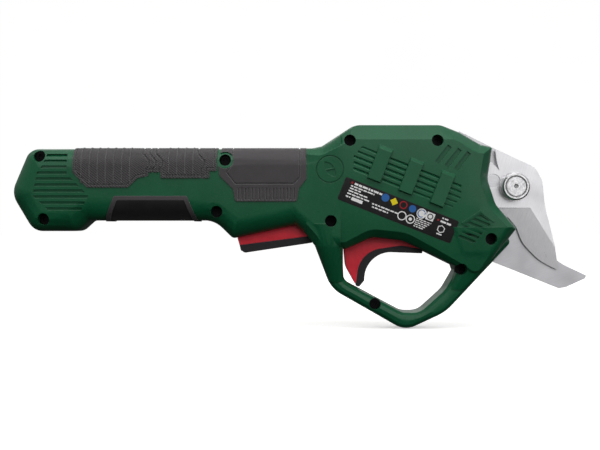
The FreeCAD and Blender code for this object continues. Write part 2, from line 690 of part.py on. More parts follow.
def bevel_pinion():
    wide = pinion_ring(SECTOR_R_OUT - 0.1, PIVOT[0] - SECTOR_R_OUT + 0.1)
    narrow = pinion_ring(SECTOR_R_IN + 0.2, PIVOT[0] - SECTOR_R_IN - 0.2)
    return Part.makeLoft([wide, narrow], True, True)


# ---- Planetary gearbox -------------------------------------------------------------------


def gear_wire(teeth, module, x, tooth_fill, addendum, dedendum, phase):
    """Straight-flanked gear outline in the YZ plane; phase points the first tooth."""
    pitch_r = module * teeth / 2
    quarter = math.pi / teeth / 2
    corners = []
    for tooth in range(teeth):
        centre = phase + 2 * math.pi * tooth / teeth
        tip_half = quarter * tooth_fill * 0.5
        root_half = quarter * tooth_fill * 1.5
        for r, angle in ((pitch_r + dedendum * module, centre - root_half),
                         (pitch_r + addendum * module, centre - tip_half),
                         (pitch_r + addendum * module, centre + tip_half),
                         (pitch_r + dedendum * module, centre + root_half)):
            corners.append(vec(x, r * math.cos(angle), r * math.sin(angle)))
    return Part.makePolygon(corners + corners[:1])


def spur_gear(teeth, x_from, x_to, phase, bore):
    wire = gear_wire(teeth, GEAR_MODULE, x_from, 0.82, 0.85, -1.15, phase)
    gear = Part.Face(wire).extrude(vec(x_to - x_from, 0, 0))
    return gear.cut(rod_x(bore, x_from - 1, x_to + 1)) if bore else gear


def planet_orbit():
    return GEAR_MODULE * (SUN_TEETH + PLANET_TEETH) / 2


def planet_place(index):
    angle = math.pi / 2 + 2 * math.pi * index / PLANETS
    return angle, planet_orbit() * math.cos(angle), planet_orbit() * math.sin(angle)


def planet_phase(index):
    """Turn of a planet so that its gaps take the teeth of a sun whose first tooth is at 0."""
    angle = planet_place(index)[0]
    sun_share = angle * SUN_TEETH / (2 * math.pi) % 1
    return angle + math.pi - (2 * math.pi / PLANET_TEETH) * (0.5 - sun_share)


def planet(stage, index):
    x = GEARBOX_X + STAGE_LENGTH * stage
    gear = spur_gear(PLANET_TEETH, x + 0.5, x + 6.5, planet_phase(index), 1.53)
    angle, y, z = planet_place(index)
    gear.translate(vec(0, y, z))
    return gear


def ring_phase():
    angle = planet_place(0)[0]
    planet_share = (angle - planet_phase(0)) * PLANET_TEETH / (2 * math.pi)
    return angle - (2 * math.pi / RING_TEETH) * planet_share


def gearbox_housing():
    x_end = GEARBOX_X + 2 * STAGE_LENGTH + 1.5
    body = rod_x(GEARBOX_R, MOTOR_X[1] + 0.2, x_end)
    space = gear_wire(RING_TEETH, GEAR_MODULE, GEARBOX_X - 0.4, 1.25, 1.2, -0.85, ring_phase())
    bore = Part.Face(space).extrude(vec(x_end - GEARBOX_X + 1, 0, 0))
    return body.cut([bore, rod_x(15.3, x_end - 3.6, x_end + 1), rod_x(7.0, 140, GEARBOX_X)])


def carrier(stage, with_sun):
    x = GEARBOX_X + STAGE_LENGTH * stage
    plate = rod_x(12.4, x + 6.9, x + 8.9)
    pins = [rod_x(1.5, x + 0.3, x + 8.0, *planet_place(i)[1:]) for i in range(PLANETS)]
    pieces = [plate] + pins
    if with_sun:
        pieces.append(spur_gear(SUN_TEETH, x + 8.9, x + 8.9 + 6.4, 0, 0))
    return join(pieces)


def output_shaft():
    x = GEARBOX_X + STAGE_LENGTH + 8.9
    flange = rod_x(6.0, x, x + 1.4)
    shaft = rod_x(3.0, x, PIVOT[0] - SECTOR_R_OUT + 0.3)
    return join([carrier(1, False), flange, shaft, bevel_pinion()])


def gearbox_cover():
    x = GEARBOX_X + 2 * STAGE_LENGTH + 1.6
    plate = rod_x(GEARBOX_R, x, x + 2.0)
    nose = rod_x(9.0, x, x + 10.5)
    bearing_room = rod_x(7.5, x - 1, x + 5.2)
    bore = rod_x(3.3, x - 1, x + 12)
    return join([plate, nose]).cut([bearing_room, bore])


def output_bearing():
    x = GEARBOX_X + 2 * STAGE_LENGTH + 1.8
    return rod_x(7.45, x, x + 4.8).cut(rod_x(3.03, x - 1, x + 6))


def gearbox_screws():
    screws = []
    for index in range(4):
        angle = math.radians(45 + 90 * index)
        y, z = 12.2 * math.cos(angle), 12.2 * math.sin(angle)
        x = GEARBOX_X + 2 * STAGE_LENGTH + 3.6
        screws.append(rod_x(2.4, x, x + 1.6, y, z).cut(box(x + 0.8, x + 2, y - 0.35, y + 0.35, z - 2, z + 2)))
    return Part.Compound(screws)


# ---- Motor -------------------------------------------------------------------------------


def motor_can():
    start, end = MOTOR_X
    shell = rod_x(MOTOR_R, start, end).cut(rod_x(MOTOR_R - 1.4, start - 1, end - 1.6))
    nose = rod_x(6.6, end, end + 2.2)
    return join([shell, nose]).cut(rod_x(1.7, end - 3, end + 4))


def motor_end_bell():
    start = MOTOR_X[0]
    cup = rod_x(MOTOR_R - 0.2, start - 2.6, start)
    hub = rod_x(5.0, start - 4.6, start - 2)
    tabs = [box(start - 5.6, start - 2, 8 * side - 1.2, 8 * side + 1.2, 3, 3.6) for side in (-1, 1)]
    return join([cup, hub] + tabs).cut([rod_x(1.65, start - 3.6, start + 1), rod_x(12, start - 1.0, start + 1)])


def motor_magnets():
    start, end = MOTOR_X
    tube_part = rod_x(MOTOR_R - 1.5, start + 5, end - 6).cut(rod_x(MOTOR_R - 3.9, start, end))
    gaps = [box(start, end, -20, 20, -4, 4)]
    return tube_part.cut(gaps)


def motor_rotor():
    start, end = MOTOR_X
    core = rod_x(MOTOR_R - 4.6, start + 8, end - 9)
    slots = []
    for index in range(5):
        notch = box(start + 7, end - 8, -0.9, 0.9, 5.5, MOTOR_R)
        slots.append(turned(notch, 72 * index, vec(0, 0, 0), vec(1, 0, 0)))
    winding = rod_x(9.5, start + 4.5, end - 5.5)
    commutator = rod_x(4.2, start + 0.6, start + 5)
    shaft = rod_x(1.6, start - 3.4, GEARBOX_X + 6.6)
    return join([core.cut(slots), winding, commutator, shaft])


def motor_brushes():
    x = MOTOR_X[0] + 2.6
    blocks = [box(x - 1.6, x + 1.6, -1.6, 1.6, 4.3, 8.6), box(x - 1.6, x + 1.6, -1.6, 1.6, -8.6, -4.3)]
    return Part.Compound(blocks)


def motor_pinion():
    return spur_gear(SUN_TEETH, GEARBOX_X + 0.3, GEARBOX_X + 6.6, 0, 1.6)


# ---- Battery and controls ----------------------------------------------------------------


def cell(z):
    can = rod_x(CELL_R, CELL_X, CELL_X + CELL_LENGTH - 1.2, 0, z)
    cap = rod_x(3.2, CELL_X + CELL_LENGTH - 1.4, CELL_X + CELL_LENGTH, 0, z)
    groove = rod_x(CELL_R + 1, CELL_X + CELL_LENGTH - 5.2, CELL_X + CELL_LENGTH - 4.4, 0, z)
    groove = groove.cut(rod_x(CELL_R - 0.4, CELL_X, CELL_X + CELL_LENGTH, 0, z))
    return join([can, cap]).cut(groove)


def cell_holder():
    ends = []
    for x_from, x_to in ((CELL_X - 2.4, CELL_X + 7), (CELL_X + CELL_LENGTH - 9, CELL_X + CELL_LENGTH + 2.2)):
        ends.append(box(x_from, x_to, -11.0, 11.0, -18.2, 20.4))
    rails = [box(CELL_X, CELL_X + CELL_LENGTH, side - 1.4, side + 1.4, -1.2, 3.2) for side in (-10, 10)]
    cells = [rod_x(CELL_R + 0.05, CELL_X, CELL_X + CELL_LENGTH + 0.2, 0, z) for z in CELL_LEVELS]
    strips = [box(CELL_X - 0.4, CELL_X, -4, 4, -12, 14), box(CELL_X + 64, CELL_X + 68, -3, 3, -12, 14)]
    return join(ends + rails).cut(cells + strips)


def nickel_strips():
    rear = box(CELL_X - 0.3, CELL_X - 0.02, -3.8, 3.8, -11, 13)
    x = CELL_X + CELL_LENGTH + 0.02
    front = [box(x, x + 0.3, -2.8, 2.8, z - 3.5, z + 3.5) for z in CELL_LEVELS]
    return Part.Compound([rear] + front)


BOARD_Z = -3.6


def control_board():
    board = box(9, 86, -13.5, 13.5, BOARD_Z, BOARD_Z + 1.6)
    holes = [rod_z(1.6, BOARD_Z - 1, BOARD_Z + 3, x, y) for x in (12, 83) for y in (-11, 11)]
    return board.cut(holes)


def board_parts():
    top = BOARD_Z + 1.6
    pieces = [rod_x(4.0, 30, 42, -6, top + 4.05), rod_x(4.0, 30, 42, 4, top + 4.05)]
    pieces += [box(14, 22, -9, 9, top, top + 6), box(48, 56, -4, 4, top, top + 1.2)]
    pieces += [box(62 + 6 * i, 66 + 6 * i, -8, -3, top, top + 1.6) for i in range(3)]
    pieces += [box(60, 78, 1, 10, top, top + 5)]
    return Part.Compound(pieces)


def heat_sink():
    base = box(60, 78, -11.5, -1.5, BOARD_Z + 3.3, BOARD_Z + 4.6)
    fins = [box(60 + 2.6 * i, 61 + 2.6 * i, -11.5, -1.5, BOARD_Z + 4.6, BOARD_Z + 11) for i in range(7)]
    return join([base] + fins)


def charge_socket():
    case = box(-85.9, -82.1, -4.7, 4.7, -28.0, -20.5)
    mouth = box(-85.3, -82.7, -4.2, 4.2, -29, -21.5)
    tongue = box(-84.3, -83.7, -3.4, 3.4, -27.0, -21.5)
    shelf = box(-86.3, -79, -8, 8, -20.5, -19.3)
    return join([case.cut(mouth), tongue, shelf])


# ---- Trigger and safety lever ------------------------------------------------------------


def trigger_lever():
    outline = [
        (107.9, -64.0, 0.4), (100.9, -51.5, 12), (99.6, -38, 5), (110, -33.2, 8), (128, -31.5, 6),
        (158.5, -31.5, 3.4), (161.4, -36, 3), (158, -39.6, 2), (150.5, -40.4, 0), (137, -37.9, 0),
        (110.0, -41.7, 17.5), (107.6, -62, 0)]
    body = prism(outline, -TRIGGER_HALF, TRIGGER_HALF)
    return body.cut(rod_y(PIN_RADIUS + 0.04, -10, 10, *TRIGGER_PIN))


def trigger_pad():
    outline = [
        (107.9, -64.0, 0), (107.6, -62, 0), (110.0, -41.7, 17.5), (137, -37.9, 0), (150.5, -40.4, 0),
        (150.3, -43.0, 0.8), (114.2, -41.6, 17), (112.9, -60.4, 1.5), (109.6, -64.6, 1.5)]
    return prism(outline, -TRIGGER_HALF + 0.1, TRIGGER_HALF - 0.1)


def safety_lever():
    outline = [
        (31.2, -32.9, 0.6), (35.5, -29.3, 1), (44.5, -29.3, 1), (49, -23.5, 1), (53, -21.6, 1),
        (62, -21.6, 1), (67, -24.6, 2),
        (79.5, -23.4, 4), (84.2, -28, 3), (81.5, -32.8, 2), (77.6, -31.8, 0), (32.6, -37.6, 0)]
    body = prism(outline, -LEVER_HALF, LEVER_HALF)
    return body.cut(rod_y(PIN_RADIUS + 0.04, -10, 10, *LEVER_PIN))


def safety_pad():
    outline = [(32.6, -37.6, 0), (77.6, -31.8, 0), (80.2, -36.0, 1), (36.0, -42.6, 2.5), (33.4, -41.0, 1)]
    return prism(outline, -LEVER_HALF, LEVER_HALF)


def cross_pin(place):
    return rod_y(PIN_RADIUS - 0.02, -11.5, 11.5, *place)


def switch_body(x_from, x_to, z_from, z_to, plunger_x):
    body = box(x_from, x_to, -4.2, 4.2, z_from, z_to)
    tabs = [box(x, x + 2.2, -0.3, 0.3, z_to, z_to + 1.8) for x in (x_from + 2, x_to - 4.2)]
    return join([body] + tabs).cut(rod_z(1.25, z_from - 1, z_from + 4.6, plunger_x, 0))


# ---- Fasteners at the pivot and the shells ------------------------------------------------


def housing_screws():
    screws = []
    for place in SCREW_PLACES:
        seat = -screw_seat(place)
        end = 8.5 if place in SCREW_PLACES[8:] else 13
        head = rod_y(SCREW_HEAD_R, seat - 2.2, seat, *place)
        socket = star_prism(place, seat - 3, seat - 0.9)
        shank = rod_y(SCREW_SHANK_R, seat, end, *place)
        screws.append(head.cut(socket).fuse(shank).removeSplitter())
    return Part.Compound(screws)


def star_prism(place, y_from, y_to):
    corners = []
    for index in range(12):
        radius = 1.9 if index % 2 == 0 else 1.25
        angle = math.pi * index / 6
        corners.append(vec(place[0] + radius * math.cos(angle), y_from, place[1] + radius * math.sin(angle)))
    return Part.Face(Part.makePolygon(corners + corners[:1])).extrude(vec(0, y_to - y_from, 0))


def pivot_bolt():
    head = rod_y(8.8, -12.2, -5.0, *PIVOT)
    outer_edges = [e for e in head.Edges if abs(e.BoundBox.YMin + 12.2) < 1e-6 and e.BoundBox.YMax < -12]
    head = head.makeChamfer(0.9, outer_edges)
    dish = rod_y(6.6, -13, -11.8, *PIVOT).cut(rod_y(5.9, -14, -11, *PIVOT))
    shank = rod_y(BOLT_SHANK_R, -5.0, 16.5, *PIVOT)
    return join([head.cut(dish), shank])


def pivot_sleeve():
    return rod_y(SLEEVE_R, -4.1, 10.0, *PIVOT).cut(rod_y(BOLT_SHANK_R + 0.02, -5, 11, *PIVOT))


def pivot_washer(y_from, y_to):
    return rod_y(9.6, y_from, y_to, *PIVOT).cut(rod_y(BOLT_SHANK_R + 0.05, y_from - 1, y_to + 1, *PIVOT))


def pivot_nut():
    corners = []
    for index in range(6):
        angle = math.pi * index / 3
        corners.append(vec(PIVOT[0] + 7.5 * math.cos(angle), 11.2, PIVOT[1] + 7.5 * math.sin(angle)))
    body = Part.Face(Part.makePolygon(corners + corners[:1])).extrude(vec(0, 4.6, 0))
    return body.cut(rod_y(BOLT_SHANK_R, 10, 17, *PIVOT))


def drive_pin():
    return rod_y(PIN_R, -3.4, 9.4, *pivot_point(PIN_ORBIT_R, PIN_ORBIT_DEG))


# ---- Wires -------------------------------------------------------------------------------


def battery_wires():
    upper = tube([(-0.2, 0, 12.0), (3.2, 1.0, 12.6), (7.5, 4.0, 9.0), (10.5, 6.0, 3.0), (13.5, 6, -1.0)], 0.9)
    lower = tube([(-0.2, 0, -9.5), (3.2, -1.0, -9.9), (7.0, -3.0, -9.5), (10.5, -6.0, -7.0), (13.5, -6, -4.6)], 0.9)
    return Part.Compound([upper, lower])


def motor_wires():
    strands = []
    for side in (-1, 1):
        route = [(79, 9 * side, 3.6), (83, 9.4 * side, 5.5), (87, 9 * side, 5.6), (91.0, 8 * side, 4.6)]
        strands.append(tube(route, 0.9))
    return Part.Compound(strands)


def switch_wires():
    strands = []
    for side in (-1, 1):
        route = [(137, 5.1 * side, -24.6), (127, 8.6 * side, -24.8), (113, 11.0 * side, -23.2),
                 (101, 14.6 * side, -17.0), (91, 15.4 * side, -12.6), (82, 12.2 * side, -6.8)]
        strands.append(tube(route, 0.7))
    return Part.Compound(strands)


# ---- The assembly ------------------------------------------------------------------------


def build():
    parts = {"right_housing": right_housing(), "left_housing": left_housing()}
    for name, shape in grips().items():
        parts["right_" + name] = shape
        parts["left_" + name] = mirrored(shape)
    parts["rating_label"] = label_solid()
    parts["housing_screws"] = housing_screws()
    parts["fixed_blade"] = fixed_blade()
    parts["moving_blade"] = moving_blade()
    parts["drive_pin"] = drive_pin()
    parts["gear_sector"] = gear_sector()
    parts["pivot_bolt"] = pivot_bolt()
    parts["pivot_washers"] = Part.Compound([pivot_washer(-5.0, -4.15), pivot_washer(10.05, 11.15)])
    parts["pivot_sleeve"] = pivot_sleeve()
    parts["pivot_nut"] = pivot_nut()
    parts["output_shaft"] = output_shaft()
    parts["output_bearing"] = output_bearing()
    parts["first_carrier"] = carrier(0, True)
    for stage, word in enumerate(("first", "second")):
        for index in range(PLANETS):
            parts[f"{word}_planet_{index + 1}"] = planet(stage, index)
    parts["gearbox_housing"] = gearbox_housing()
    parts["gearbox_cover"] = gearbox_cover()
    parts["gearbox_screws"] = gearbox_screws()
    parts["motor_pinion"] = motor_pinion()
    parts["motor_rotor"] = motor_rotor()
    parts["motor_can"] = motor_can()
    parts["motor_magnets"] = motor_magnets()
    parts["motor_brushes"] = motor_brushes()
    parts["motor_end_bell"] = motor_end_bell()
    parts["upper_cell"] = cell(CELL_LEVELS[0])
    parts["lower_cell"] = cell(CELL_LEVELS[1])
    parts["cell_holder"] = cell_holder()
    parts["nickel_strips"] = nickel_strips()
    parts["control_board"] = control_board()
    parts["board_parts"] = board_parts()
    parts["heat_sink"] = heat_sink()
    parts["charge_socket"] = charge_socket()
    parts["trigger_lever"] = trigger_lever()
    parts["trigger_pad"] = trigger_pad()
    parts["trigger_pin"] = cross_pin(TRIGGER_PIN)
    parts["trigger_spring"] = coil_spring(118, 0, -32.2, -21.9, 2.6, 0.4, 6)
    parts["trigger_switch"] = switch_body(132, 148, -27.4, -20.0, 142)
    parts["trigger_plunger"] = rod_z(1.2, -31.3, -25.4, 142, 0)
    parts["safety_lever"] = safety_lever()
    parts["safety_pad"] = safety_pad()
    parts["safety_pin"] = cross_pin(LEVER_PIN)
    parts["safety_spring"] = coil_spring(40, 0, -29.25, -15.6, 2.6, 0.4, 7)
    parts["safety_switch"] = switch_body(50, 65, -17.6, -9.0, 58)
    parts["safety_plunger"] = rod_z(1.2, -21.45, -15.4, 58, 0)
    parts["battery_wires"] = battery_wires()
    parts["motor_wires"] = motor_wires()
    parts["switch_wires"] = switch_wires()
    return parts


def main():
    os.makedirs("parts", exist_ok=True)
    for name, shape in build().items():
        shape.exportStep(os.path.join("parts", name + ".step"))


if __name__ == "__main__":
    main()
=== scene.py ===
"""Visible finish of a battery electric pruner: plastics, soft grips, steel, label print and studio."""

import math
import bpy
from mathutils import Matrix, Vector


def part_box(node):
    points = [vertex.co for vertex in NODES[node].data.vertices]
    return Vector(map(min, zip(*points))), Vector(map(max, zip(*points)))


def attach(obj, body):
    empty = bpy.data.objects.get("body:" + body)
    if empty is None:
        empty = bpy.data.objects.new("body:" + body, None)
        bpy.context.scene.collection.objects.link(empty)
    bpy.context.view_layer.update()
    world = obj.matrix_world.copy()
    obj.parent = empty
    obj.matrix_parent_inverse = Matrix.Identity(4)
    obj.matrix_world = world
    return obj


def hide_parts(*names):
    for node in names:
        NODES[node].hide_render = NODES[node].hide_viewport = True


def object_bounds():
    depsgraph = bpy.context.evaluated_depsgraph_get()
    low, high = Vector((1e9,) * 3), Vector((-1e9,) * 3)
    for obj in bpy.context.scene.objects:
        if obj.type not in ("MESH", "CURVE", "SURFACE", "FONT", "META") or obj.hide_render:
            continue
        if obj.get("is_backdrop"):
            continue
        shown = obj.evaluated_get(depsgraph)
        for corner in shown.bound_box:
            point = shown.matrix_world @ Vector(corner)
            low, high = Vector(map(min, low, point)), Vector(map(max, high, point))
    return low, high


bl_info = {
    "name": "Battery Pruner Finish",
    "version": (1, 0, 0),
    "blender": (4, 5, 0),
    "location": "View3D > Sidebar > Pruner",
    "description": "Finishes the pruner's frame, prints its label and sets up the studio",
    "category": "Object",
}

import bpy
from bpy.props import FloatProperty, FloatVectorProperty, PointerProperty
from bpy.types import NodeSocket, Operator, Panel, PropertyGroup
from mathutils import Vector

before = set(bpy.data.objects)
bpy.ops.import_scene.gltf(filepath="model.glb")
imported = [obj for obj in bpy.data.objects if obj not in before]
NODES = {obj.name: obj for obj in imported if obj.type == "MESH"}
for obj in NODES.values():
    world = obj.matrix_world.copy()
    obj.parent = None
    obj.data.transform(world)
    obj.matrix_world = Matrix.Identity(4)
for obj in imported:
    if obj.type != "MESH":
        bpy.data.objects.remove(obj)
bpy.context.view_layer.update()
MM = 0.001

# ---- Colours and settings ------------------------------------------------------------------


def srgb(code):
    """Linear colour of an sRGB hex value."""
    channels = [int(code[i:i + 2], 16) / 255 for i in (1, 3, 5)]
    linear = [c / 12.92 if c <= 0.04045 else ((c + 0.055) / 1.055) ** 2.4 for c in channels]
    return (*linear, 1.0)


def colour_property(name, description, code):
    return FloatVectorProperty(name=name, description=description, default=srgb(code), size=4,
                               min=0.0, max=1.0, subtype="COLOR")


def length_property(name, description, default_mm):
    return FloatProperty(name=name, description=description, default=default_mm * MM, min=0.0,
                         precision=5, unit="LENGTH")


class PrunerColours(PropertyGroup):
    housing: colour_property("Housing", "Dark green moulded nylon", "#005936")
    grip: colour_property("Grip", "Dark grey soft grip", "#454244")
    palm: colour_property("Palm pad", "Near-black pad under the fingers", "#1B1A1C")
    control: colour_property("Trigger", "Red trigger and safety lever", "#FA1C38")
    pad: colour_property("Trigger pad", "Black facing of the trigger and lever", "#232125")
    steel: colour_property("Blade", "Ground blade steel", "#E9E8EB")
    plate: colour_property("Fixed blade", "Duller hook plate steel", "#DAD9DD")
    bolt: colour_property("Bolt", "Turned pivot bolt", "#EDECEE")
    film: colour_property("Label", "Black label film", "#141214")
    ink: colour_property("White ink", "Main print colour", "#FFFFFF")
    blue: colour_property("Blue ink", "Round marks", "#2F6DB5")
    yellow: colour_property("Yellow ink", "Diamond mark", "#FFE81E")
    red: colour_property("Red ink", "Ring mark", "#B5222B")


class PrunerSizes(PropertyGroup):
    grain: length_property("Plastic grain", "Spacing of the moulded texture", 0.55)
    edge: length_property("Edge radius", "Rounding that moulded edges show", 0.35)
    ridge: length_property("Grip ridge", "Spacing of the fine ridges on the upper grip", 1.25)
    brush: length_property("Brush line", "Spacing of the grinding lines on the blades", 0.35)
    ink: length_property("Ink height", "Height of the print on the label", 0.05)


class StudioSettings(PropertyGroup):
    distance: length_property("Camera distance", "From the lens to the tool's middle plane", 700)
    lens: FloatProperty(name="Lens", description="Focal length", default=64.6, unit="CAMERA")
    key: FloatProperty(name="Key light", description="Overhead softbox", default=2.8, unit="POWER")
    fill: FloatProperty(name="Front light", description="Soft light from the front", default=1.7,
                        unit="POWER")
    back: FloatProperty(name="Back light", description="Soft light on the far side", default=1.5,
                        unit="POWER")
    rim: FloatProperty(name="Blade light", description="Panel that the blades mirror", default=0.95,
                       unit="POWER")


# ---- Node helpers --------------------------------------------------------------------------


def add_node(tree, kind, attributes=None, inputs=None):
    """Add a node, set its attributes, and fill its sockets with values or links."""
    node = tree.nodes.new(kind)
    for name, value in (attributes or {}).items():
        setattr(node, name, value)
    for socket, value in (inputs or {}).items():
        if isinstance(value, NodeSocket):
            tree.links.new(value, node.inputs[socket])
        else:
            node.inputs[socket].default_value = value
    return node


def new_material(name, **constants):
    """A material whose principled shader starts from constants; returns it, its tree and shader."""
    material = bpy.data.materials.new(name)
    material.use_nodes = True
    tree = material.node_tree
    shader = tree.nodes["Principled BSDF"]
    for socket, value in constants.items():
        shader.inputs[socket.replace("_", " ")].default_value = value
    return material, tree, shader


def millimetres(tree):
    """Object coordinates in millimetres."""
    place = add_node(tree, "ShaderNodeTexCoord").outputs["Object"]
    return add_node(tree, "ShaderNodeVectorMath", {"operation": "SCALE"},
                    {0: place, "Scale": 1 / MM}).outputs[0]


def noise(tree, place, spacing_mm, detail=2.0, roughness=0.5):
    return add_node(tree, "ShaderNodeTexNoise", None,
                    {"Vector": place, "Scale": 1 / spacing_mm, "Detail": detail,
                     "Roughness": roughness}).outputs["Fac"]


def maths(tree, operation, first, second=0.0, third=0.0):
    return add_node(tree, "ShaderNodeMath", {"operation": operation},
                    {0: first, 1: second, 2: third}).outputs[0]


def spread(tree, value, low, high, to_low=0.0, to_high=1.0):
    return add_node(tree, "ShaderNodeMapRange", None,
                    {"Value": value, "From Min": low, "From Max": high, "To Min": to_low,
                     "To Max": to_high}).outputs[0]


def blend_colours(tree, amount, first, second):
    return add_node(tree, "ShaderNodeMix", {"data_type": "RGBA"},
                    {"Factor": amount, 6: first, 7: second}).outputs[2]


def shade(colour, factor):
    return (*[min(1.0, channel * factor) for channel in colour[:3]], 1.0)


def lift(colour, amount):
    return (*[channel + (1.0 - channel) * amount for channel in colour[:3]], 1.0)


def rounded_normal(tree, radius):
    """Normal that rolls over edges, and how strongly it does so at each point."""
    bevel = add_node(tree, "ShaderNodeBevel", {"samples": 6}, {"Radius": radius}).outputs[0]
    flat = add_node(tree, "ShaderNodeNewGeometry").outputs["Normal"]
    facing = add_node(tree, "ShaderNodeVectorMath", {"operation": "DOT_PRODUCT"},
                      {0: bevel, 1: flat}).outputs["Value"]
    return bevel, spread(tree, facing, 0.995, 0.82)


def bump(tree, height, distance_mm, normal=None, strength=1.0):
    inputs = {"Height": height, "Distance": distance_mm * MM, "Strength": strength}
    if normal:
        inputs["Normal"] = normal
    return add_node(tree, "ShaderNodeBump", None, inputs).outputs[0]


def finish(nodes, material):
    """Give CAD nodes a material in every slot."""
    for name in nodes:
        slots = NODES[name].data.materials
        if not slots:
            slots.append(material)
        for index in range(len(slots)):
            slots[index] = material


def select_only(piece):
    bpy.ops.object.select_all(action="DESELECT")
    piece.select_set(True)
    bpy.context.view_layer.objects.active = piece


def settle(piece):
    """Put a finished piece's place into its mesh."""
    select_only(piece)
    bpy.ops.object.transform_apply(location=True, rotation=True, scale=True)


def smoothed(name, material, angle=23.4):
    """A copy of a CAD node whose tessellated curves read as one even surface."""
    source = NODES[name]
    piece = bpy.data.objects.new(name + "_finish", source.data.copy())
    piece.matrix_world = source.matrix_world
    bpy.context.scene.collection.objects.link(piece)
    settle(piece)
    bpy.ops.mesh.customdata_custom_splitnormals_clear()
    bpy.ops.object.mode_set(mode="EDIT")
    bpy.ops.mesh.select_all(action="SELECT")
    bpy.ops.mesh.remove_doubles(threshold=0.002 * MM)
    bpy.ops.object.mode_set(mode="OBJECT")
    bpy.ops.object.shade_smooth_by_angle(angle=math.radians(angle))
    even = piece.modifiers.new("even", "WEIGHTED_NORMAL")
    even.mode = "FACE_AREA_WITH_ANGLE"
    even.keep_sharp = True
    bpy.ops.object.modifier_apply(modifier=even.name)
    piece.data.materials.clear()
    piece.data.materials.append(material)
    finish([name], material)
    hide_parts(name)
    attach(piece, "tool")
    return piece


def pruner():
    return bpy.context.scene.pruner_colours, bpy.context.scene.pruner_sizes


# ---- Materials -----------------------------------------------------------------------------


def moulded_nylon(name, colour, sizes, roughness=0.34, grain_depth=0.014, specular=0.32):
    """Glass-filled nylon from a spark-eroded mould: an even satin with a fine pebbled grain,
    faint flow clouds in the colour, and slightly paler rubbed edges."""
    material, tree, shader = new_material(name, IOR=1.53, Specular_IOR_Level=specular)
    place = millimetres(tree)
    clouds = noise(tree, place, 26.0, 3.0, 0.55)
    grain_mm = sizes.grain / MM
    pebbles = noise(tree, place, grain_mm, 2.0, 0.6)
    normal, edges = rounded_normal(tree, sizes.edge)
    scuffs = maths(tree, "MULTIPLY", edges, spread(tree, noise(tree, place, 5.0, 4.0, 0.65), 0.35, 0.7))
    body = blend_colours(tree, spread(tree, clouds, 0.3, 0.7), shade(colour, 0.9), shade(colour, 1.1))
    specks = blend_colours(tree, spread(tree, pebbles, 0.42, 0.75, 0.0, 0.35), body, lift(colour, 0.04))
    worn = blend_colours(tree, maths(tree, "MULTIPLY", scuffs, 0.45), specks, lift(colour, 0.12))
    tree.links.new(worn, shader.inputs["Base Color"])
    satin = maths(tree, "ADD", spread(tree, pebbles, 0.3, 0.7, roughness, roughness + 0.1),
                  spread(tree, clouds, 0.3, 0.7, -0.03, 0.03))
    tree.links.new(maths(tree, "SUBTRACT", satin, maths(tree, "MULTIPLY", scuffs, 0.1)),
                   shader.inputs["Roughness"])
    tree.links.new(bump(tree, pebbles, grain_depth, normal), shader.inputs["Normal"])
    return material


# The palm pad's frame, in millimetres: its ends lean, and the pad is symmetric about its middle.
PALM_FRAME_MM = 3.0
PALM_MIDDLE_X = -23.0
PALM_TOP_Z = -6.2
PALM_HALF_LENGTH = 32.8
PALM_LEAN = 0.41
PALM_BOTTOM_Z = -30.0


def palm_field(tree, place):
    """1 inside the palm pad's raised field and 0 on the frame round it."""
    axes = add_node(tree, "ShaderNodeSeparateXYZ", None, {0: place}).outputs
    lean = maths(tree, "MULTIPLY_ADD", axes["Z"], PALM_LEAN, -PALM_LEAN * PALM_BOTTOM_Z)
    middle = maths(tree, "ABSOLUTE", maths(tree, "SUBTRACT", axes["X"], PALM_MIDDLE_X))
    half = maths(tree, "SUBTRACT", PALM_HALF_LENGTH - PALM_FRAME_MM, lean)
    sides = spread(tree, maths(tree, "SUBTRACT", half, middle), -0.15, 0.15)
    edge = PALM_TOP_Z - PALM_FRAME_MM
    top = spread(tree, axes["Z"], edge, edge - 0.3)
    return maths(tree, "MULTIPLY", sides, top)


